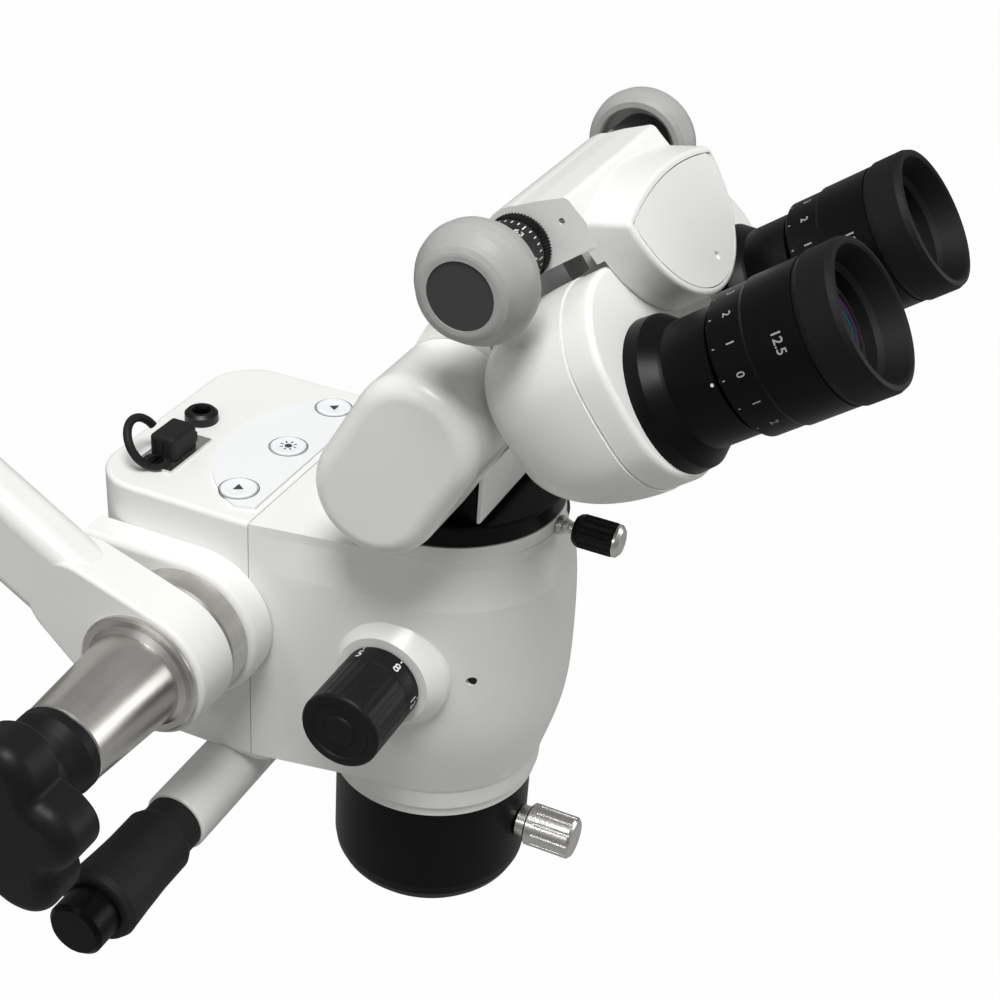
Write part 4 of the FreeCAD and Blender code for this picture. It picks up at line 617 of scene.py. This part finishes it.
def numerals(text, height):
    """Flat numerals, centred, in mm: across, up, faces."""
    curve = bpy.data.curves.new("numerals", "FONT")
    curve.body = text
    curve.align_x = "CENTER"
    curve.offset = 0.012
    curve.resolution_u = 4
    holder = bpy.data.objects.new("numerals", curve)
    bpy.context.scene.collection.objects.link(holder)
    bpy.context.view_layer.update()
    mesh = bpy.data.meshes.new_from_object(holder)
    cells = bmesh.new()
    cells.from_mesh(mesh)
    bmesh.ops.triangulate(cells, faces=cells.faces)
    bmesh.ops.subdivide_edges(cells, edges=cells.edges, cuts=2, use_grid_fill=True)
    cells.verts.index_update()
    flat = np.array([v.co[:2] for v in cells.verts])
    faces = [[v.index for v in f.verts] for f in cells.faces]
    cells.free()
    bpy.data.objects.remove(holder)
    bpy.data.meshes.remove(mesh)
    low, high = flat.min(0), flat.max(0)
    flat = (flat - (low + high) / 2) * (height / (high[1] - low[1]))
    return flat[:, 0], flat[:, 1], faces


def bar(width, height, across=0.0, up=0.0, cells=6):
    """Rectangle as a small grid, in mm."""
    steps_across = np.linspace(-width / 2, width / 2, cells + 1)
    steps_up = np.linspace(-height / 2, height / 2, 3)
    u, v = np.meshgrid(steps_across, steps_up)
    return u.ravel() + across, v.ravel() + up, quads(3, cells + 1, closed=False).tolist()


def flat_ring(inner, outer, segments=72):
    """Flat ring round the origin, in mm."""
    angle = np.linspace(0, 2 * math.pi, segments, endpoint=False)
    radius = np.array([[inner], [outer]])
    faces = quads(2, segments)[:, ::-1].tolist()
    return (radius * np.cos(angle)).ravel(), (radius * np.sin(angle)).ravel(), faces


def polygon(points):
    """Convex outline, given counter-clockwise, filled from its centre."""
    points = np.array(points, float)
    points = np.vstack((points, points.mean(0)))
    last = len(points) - 1
    return points[:, 0], points[:, 1], [[i, (i + 1) % last, last] for i in range(last)]


def disc(radius, segments=24):
    """Filled circle, in mm."""
    angle = np.linspace(0, 2 * math.pi, segments, endpoint=False)
    return polygon(np.stack((radius * np.cos(angle), radius * np.sin(angle)), -1))


class Drum:
    """Cylinder to print on: up is where the tops of the numerals point."""

    def __init__(self, centre, up, start, radius):
        self.centre, self.up, self.start = (np.asarray(v, float) for v in (centre, up, start))
        self.side = np.cross(self.up, self.start)
        self.radius = radius

    def rolled(self, mark, degrees, along):
        """A flat mark bent round the drum: angle = degrees + across / radius."""
        across, up, faces = mark
        angle = math.radians(degrees) + across / self.radius
        out = np.cos(angle)[:, None] * self.start + np.sin(angle)[:, None] * self.side
        return self.centre + MM * ((up + along)[:, None] * self.up + (self.radius + LIFT) * out), faces


def printed(name, marks, finish, body):
    """Several marks joined into one piece."""
    points, faces = [], []
    for spots, cells in marks:
        offset = sum(len(p) for p in points)
        points.append(spots)
        faces += [[i + offset for i in cell] for cell in cells]
    return piece(name, np.vstack(points), faces, finish, body)


def paint(name, colour):
    """Matt filling paint with a little grain."""
    finish = Finish(name, colour, 0.55)
    grain = finish.noise(0.0004, detail=2.0)
    dim = tuple(c * 0.86 for c in colour)
    finish.set("Base Color", finish.mix(grain, dim, colour))
    finish.set("Roughness", grain * 0.15 + 0.48)
    return finish


white_paint = paint("white_paint", (0.80, 0.80, 0.78))
grey_paint = paint("grey_paint", (0.38, 0.38, 0.37))
dark_print = paint("dark_print", (0.045, 0.05, 0.075))

# %% [markdown]
# Prism housings
#
# Each eyepiece stands on a die-cast shell with a prism in it. The shell is fuller above, where
# the cross shaft moves it, and narrows to the back; a fine groove shows where its front frame
# is screwed on. The outline is two half circles of different size with a soft change between
# them, and both radii shrink along an ellipse towards the back.


# %% Prism housings
FLAT_SIDE = 24.0


def bell_rings(sign):
    """Rings of one shell, in mm of the binocular's frame, from its front rim to its back.

    The outline at a depth is x = r cos a and y = c + r sin a. The radius goes from the low to
    the high one, r = low + (high - low) (1 + sin a) / 2, and the centre c rises with a, too.
    Towards the back both radii shrink along an ellipse: r = full - drop (1 - sqrt(1 - t t)).
    """
    rim = -59.5 - 2.0 * (1 - np.cos(np.linspace(0, math.pi / 2, 6)))
    groove = (-64.0, -66.0, -68.2, -68.32, -68.5, -68.9, -69.0, -69.15, -69.5, -71.0)
    back = -73.0 - 31.0 * np.sin(np.linspace(0, math.pi / 2, 26))
    depth = np.concatenate((rim, groove, back))
    angle = np.linspace(0, 2 * math.pi, 168, endpoint=False)
    high_share = 0.5 + 0.5 * np.sin(angle)
    step = np.clip(np.sin(angle) / 0.7 + 0.5, 0, 1)
    centre = 1.5 + 10.0 * step * step * (3 - 2 * step)

    def rounded(full, start, drop):
        t = np.clip((start - depth) / (start + 104.0), 0, 1)
        return full - drop * (1 - np.sqrt(1 - t * t))

    low, high = rounded(24.7, -70.0, 17.0), rounded(27.0, -72.0, 14.0)
    front = np.clip((depth + 61.5) / 2.0, 0, 1)
    trim = np.where(depth > -68.6, 0.35, 0.0) + 1.5 * (1 - np.sqrt(1 - front * front))
    trim += np.where((depth < -68.4) & (depth > -68.95), 0.9, 0.0)
    radius = low[:, None] + (high - low)[:, None] * high_share - trim[:, None]
    across = np.minimum(radius * np.cos(angle), FLAT_SIDE)
    rise = np.broadcast_to(centre, radius.shape) + radius * np.sin(angle)
    return in_view(sign * (HALF_EYES - across), rise, np.repeat(depth[:, None], len(angle), 1))


def block_rings(low, high):
    """Two rings of a box in the binocular's frame."""
    corners = [(low[0], low[1]), (high[0], low[1]), (high[0], high[1]), (low[0], high[1])]
    return np.array([[in_view(x, y, z) for x, y in corners] for z in (low[2], high[2])])


for side, sign in SIDES:
    shell = loft("prism_shell_" + side, bell_rings(sign), enamel, side + "_tube")
    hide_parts("prism_housing_" + side)
    left_end, right_end = sorted((sign * 15.0, sign * 26.5))
    nut = block_rings((left_end, 36.5, -83.2), (right_end, 57.6, -74.0))
    loft("shaft_nut_" + side, nut, cast, side + "_tube")

# %% [markdown]
# Coating of the eye lenses, with painted reflections
#
# A coated lens looks black with coloured reflections: the thin layers return blue and green
# near the middle and purple towards the rim. These reflections are painted into the colour as
# rings about the lens's own axis, broken up a little, so they don't look printed.


# %% Eye lens coating with painted reflections
def lens_coating(side, sign):
    """Painted reflections: rings by the distance r from the eyepiece's axis, in metres; base colour only.
    """
    finish = Finish("eye_lens_coating_" + side, (0.01, 0.01, 0.02), 0.04, IOR=1.7, Coat_Weight=1.0,
                    Coat_Roughness=0.03)
    centre = tuple(EYE + ACROSS * (sign * HALF_EYES * MM))
    where = finish.placed(centre, (VIEW_TILT - math.pi / 2, 0, 0))
    x, y, _ = finish.axes(where)
    waver = finish.noise(0.006, detail=2.0) * 0.0022
    radius = (x * x + y * y).math("SQRT") + waver
    # painted reflections: blue, green and purple rings of the coating, in the base colour
    colour = finish.mix(radius.between(0.0022, 0.0050, 0.0012), (0.004, 0.005, 0.010), (0.02, 0.08, 0.28))
    colour = finish.mix(radius.between(0.0058, 0.0080, 0.0012), colour, (0.008, 0.100, 0.085))
    colour = finish.mix(radius.between(0.0088, 0.0112, 0.0012), colour, (0.100, 0.030, 0.115))
    # painted reflection of the eyecup's inner wall: a brownish grey outer ring
    colour = finish.mix(radius.above(0.0130, 0.0010), colour, (0.050, 0.040, 0.032))
    finish.set("Base Color", colour)
    finish.set("Roughness", waver * 20.0 + 0.02)
    return finish


for side, sign in SIDES:
    dress("eye_lens_" + side, lens_coating(side, sign))

# %% [markdown]
# Knobs with reeds
#
# The magnification knobs are turned plastic with shallow reeds, so that a gloved finger finds
# hold. White numbers by the inner rim tell the step; the drum has six stops, and the step
# without lenses comes twice. The sleeve of the ring clamp has deeper reeds.

# %% Magnification knobs and the clamp sleeve
DRUM_CENTRE = np.array((0.0, -0.0023, 0.1066))
KNOB_START, KNOB_LENGTH, KNOB_RADIUS = 47.5, 27.6, 12.8
# Count, depth, and where they start and end along the axis
KNOB_REEDS = (30, 0.14, KNOB_START + 8.0, KNOB_START + 26.1)
SLEEVE_REEDS = (18, 0.45, 45.9, 56.1)
STOPS = ("8", "13", "20", "8", "3", "5")
STOP_DEGREES = 60.0
REST_DEGREES = 33.0


def knob_profile():
    """Radius and place along the axis from the boss to the dished end, in mm."""
    end = KNOB_START + KNOB_LENGTH
    grip = [(KNOB_RADIUS - 0.3, KNOB_START + 7.4), (KNOB_RADIUS, KNOB_START + 7.8)]
    grip += [(KNOB_RADIUS, a) for a in np.linspace(KNOB_START + 8.4, end - 1.6, 8)]
    rounding = [(KNOB_RADIUS - 1.4 + 1.4 * math.cos(a), end - 1.4 + 1.4 * math.sin(a))
                for a in np.linspace(0.1, math.pi / 2, 6)]
    dish = [(KNOB_RADIUS - 3.0, end), (KNOB_RADIUS - 3.5, end - 0.55), (KNOB_RADIUS - 7.4, end - 0.55),
            (KNOB_RADIUS - 7.9, end), (0.4, end)]
    return [(6.2, KNOB_START), (KNOB_RADIUS - 0.6, KNOB_START), (KNOB_RADIUS - 0.1, KNOB_START + 0.5),
            (KNOB_RADIUS - 0.1, KNOB_START + 6.9)] + grip + rounding + dish


knob_marks = []
for side, sign in SIDES:
    rings = turned_rings(knob_profile(), DRUM_CENTRE, (sign, 0, 0), KNOB_REEDS, 300)
    knob = loft("magnification_knob_" + side, rings, moulded, "magnification")
    if side == "left":
        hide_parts("magnification_knobs")
    rim = Drum(DRUM_CENTRE, (-sign, 0, 0), (0, 0, 1), KNOB_RADIUS - 0.1)
    for index, text in enumerate(STOPS):
        turn_here = STOP_DEGREES * index - REST_DEGREES * sign
        knob_marks.append(rim.rolled(numerals(text, 3.3), turn_here, -(KNOB_START + 4.1)))
        knob_marks.append(rim.rolled(bar(0.5, 1.0), turn_here, -(KNOB_START + 1.2)))
printed("magnification_numbers", knob_marks, white_paint, "magnification")

CLAMP = np.array((0.0, 0.0, 0.1489))
sleeve = [(2.1, 43.4), (4.2, 43.4), (5.0, 44.4), (5.4, 45.6)]
sleeve += [(5.4, a) for a in np.linspace(46.0, 56.0, 8)]
sleeve += [(5.2, 56.5), (4.6, 56.8), (2.1, 56.8)]
sleeve_rings = turned_rings(sleeve, CLAMP, (0, -1, 0), SLEEVE_REEDS, 216)
sleeve_piece = loft("clamp_sleeve", sleeve_rings, moulded, "ring_clamp")
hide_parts("clamp_knob")

# %% [markdown]
# Scales on the eyepieces
#
# Each barrel turns to suit the user's sight: a ring of dioptre numbers at its rear edge passes
# a dot on the tube. The step between two numbers is 24 degrees. A plain number on the barrel
# gives the eyepiece's own magnification.

# %% Dioptre scales
DIOPTRE_DEGREES = 24.0
INDEX_AT = 80.0
NUMBERS_DEPTH = -29.4

for side, sign in SIDES:
    axis_point = in_view(sign * HALF_EYES, 0.0, 0.0)
    rear = Drum(axis_point, TOWARDS, RISE, 19.7)
    marks = []
    for step in range(-5, 6):
        turn_here = INDEX_AT + DIOPTRE_DEGREES * step
        marks.append(rear.rolled(numerals(str(abs(step)), 2.3), turn_here, NUMBERS_DEPTH))
        marks.append(rear.rolled(bar(0.3, 0.7), turn_here, -34.3))
    minus_at, plus_at = (INDEX_AT + DIOPTRE_DEGREES * end for end in (-5.5, 5.5))
    marks += [rear.rolled(bar(1.3, 0.35), at, NUMBERS_DEPTH) for at in (minus_at, plus_at)]
    marks.append(rear.rolled(bar(0.35, 1.3), plus_at, NUMBERS_DEPTH))
    front = Drum(axis_point, TOWARDS, RISE, 20.2)
    marks.append(front.rolled(numerals("12.5", 2.7), 70.0, -16.8))
    printed("dioptre_scale_" + side, marks, grey_paint, side + "_eyepiece")
    tube = Drum(axis_point, TOWARDS, RISE, 17.8)
    printed("dioptre_index_" + side, [tube.rolled(disc(0.5), INDEX_AT, -38.6)], white_paint, side + "_tube")

# %% [markdown]
# Eye-distance dials
#
# The cross shaft ends in two dials under milky caps. A knurled band gives hold, and a scale of
# lines with the eye distance in millimetres runs round the band beside it.

# %% Eye-distance dials
SHAFT_RISE, SHAFT_DEPTH = 52.8, -78.6
KNURL_REEDS = (64, 0.42, 33.6, 37.8)
LINES = 30
shaft_point = in_view(0.0, SHAFT_RISE, SHAFT_DEPTH)
knurl = [(8.5, 33.4), (9.3, 33.7)]
knurl += [(9.35, a) for a in np.linspace(34.0, 37.4, 5)]
knurl += [(9.3, 37.7), (8.5, 38.0)]
dial_marks = []
for side, sign in SIDES:
    rings = turned_rings(knurl, shaft_point, (sign, 0, 0), KNURL_REEDS, 384)
    loft("dial_knurl_" + side, rings, anodised, "eye_distance_knobs")
    dial = Drum(shaft_point, (-sign, 0, 0), RISE, 8.9)
    for index in range(LINES):
        length, shift = (2.4, 0.5) if index % 5 == 0 else (1.4, 0.0)
        dial_marks.append(dial.rolled(bar(0.35, length), 360.0 / LINES * index, -(39.6 + shift)))
    for index, text in enumerate(("60", "63", "66", "69", "72", "75")):
        dial_marks.append(dial.rolled(numerals(text, 2.2), 60.0 * index, -43.4))
printed("eye_distance_scale", dial_marks, white_paint, "eye_distance_knobs")

# %% [markdown]
# Marks on the control panel
#
# Three keys lie under the film: darker, lamp, brighter. The film is printed with a thin ring
# round each, and each key carries its symbol: a triangle towards the user, a small sun, and a
# triangle away from the user. The key tops are slightly dished, and the symbols follow them.

# %% Key symbols
KEY_Y, KEY_PITCH, KEY_TOP, FILM_TOP = 58.2, 30.5, 148.9, 148.3
DISH_RADIUS, DISH_DEPTH = 30.0, 0.35


def on_key(mark, x):
    """Symbol on the key at x, lowered into the key's dish, a part of a sphere."""
    across, up, faces = mark
    dish = np.minimum(0.0, DISH_RADIUS - DISH_DEPTH - np.sqrt(DISH_RADIUS ** 2 - across ** 2 - up ** 2))
    return MM * np.stack((x + across, KEY_Y + up, KEY_TOP + dish + LIFT), -1), faces


def on_film(mark, x, y):
    """Mark on the flat film."""
    across, up, faces = mark
    return MM * np.stack((x + across, y + up, np.full(across.shape, FILM_TOP + LIFT)), -1), faces


def turned_mark(mark, degrees):
    """The mark turned in its own plane."""
    across, up, faces = mark
    c, s = math.cos(math.radians(degrees)), math.sin(math.radians(degrees))
    return across * c - up * s, across * s + up * c, faces


towards_user = polygon([(0, -1.7), (1.9, 1.2), (-1.9, 1.2)])
away_from_user = polygon([(0, 1.7), (-1.9, -1.2), (1.9, -1.2)])
sun = [disc(1.25)] + [turned_mark(bar(0.5, 1.1, up=2.35), 45.0 * i) for i in range(8)]
key_rings = [on_film(flat_ring(6.15, 6.5), x, KEY_Y) for x in (-KEY_PITCH, 0.0, KEY_PITCH)]
printed("symbol_darker", [on_key(towards_user, -KEY_PITCH)], dark_print, "down_button")
printed("symbol_lamp", [on_key(mark, 0.0) for mark in sun], dark_print, "light_button")
printed("symbol_brighter", [on_key(away_from_user, KEY_PITCH)], dark_print, "up_button")
printed("key_rings", key_rings, dark_print, "head")
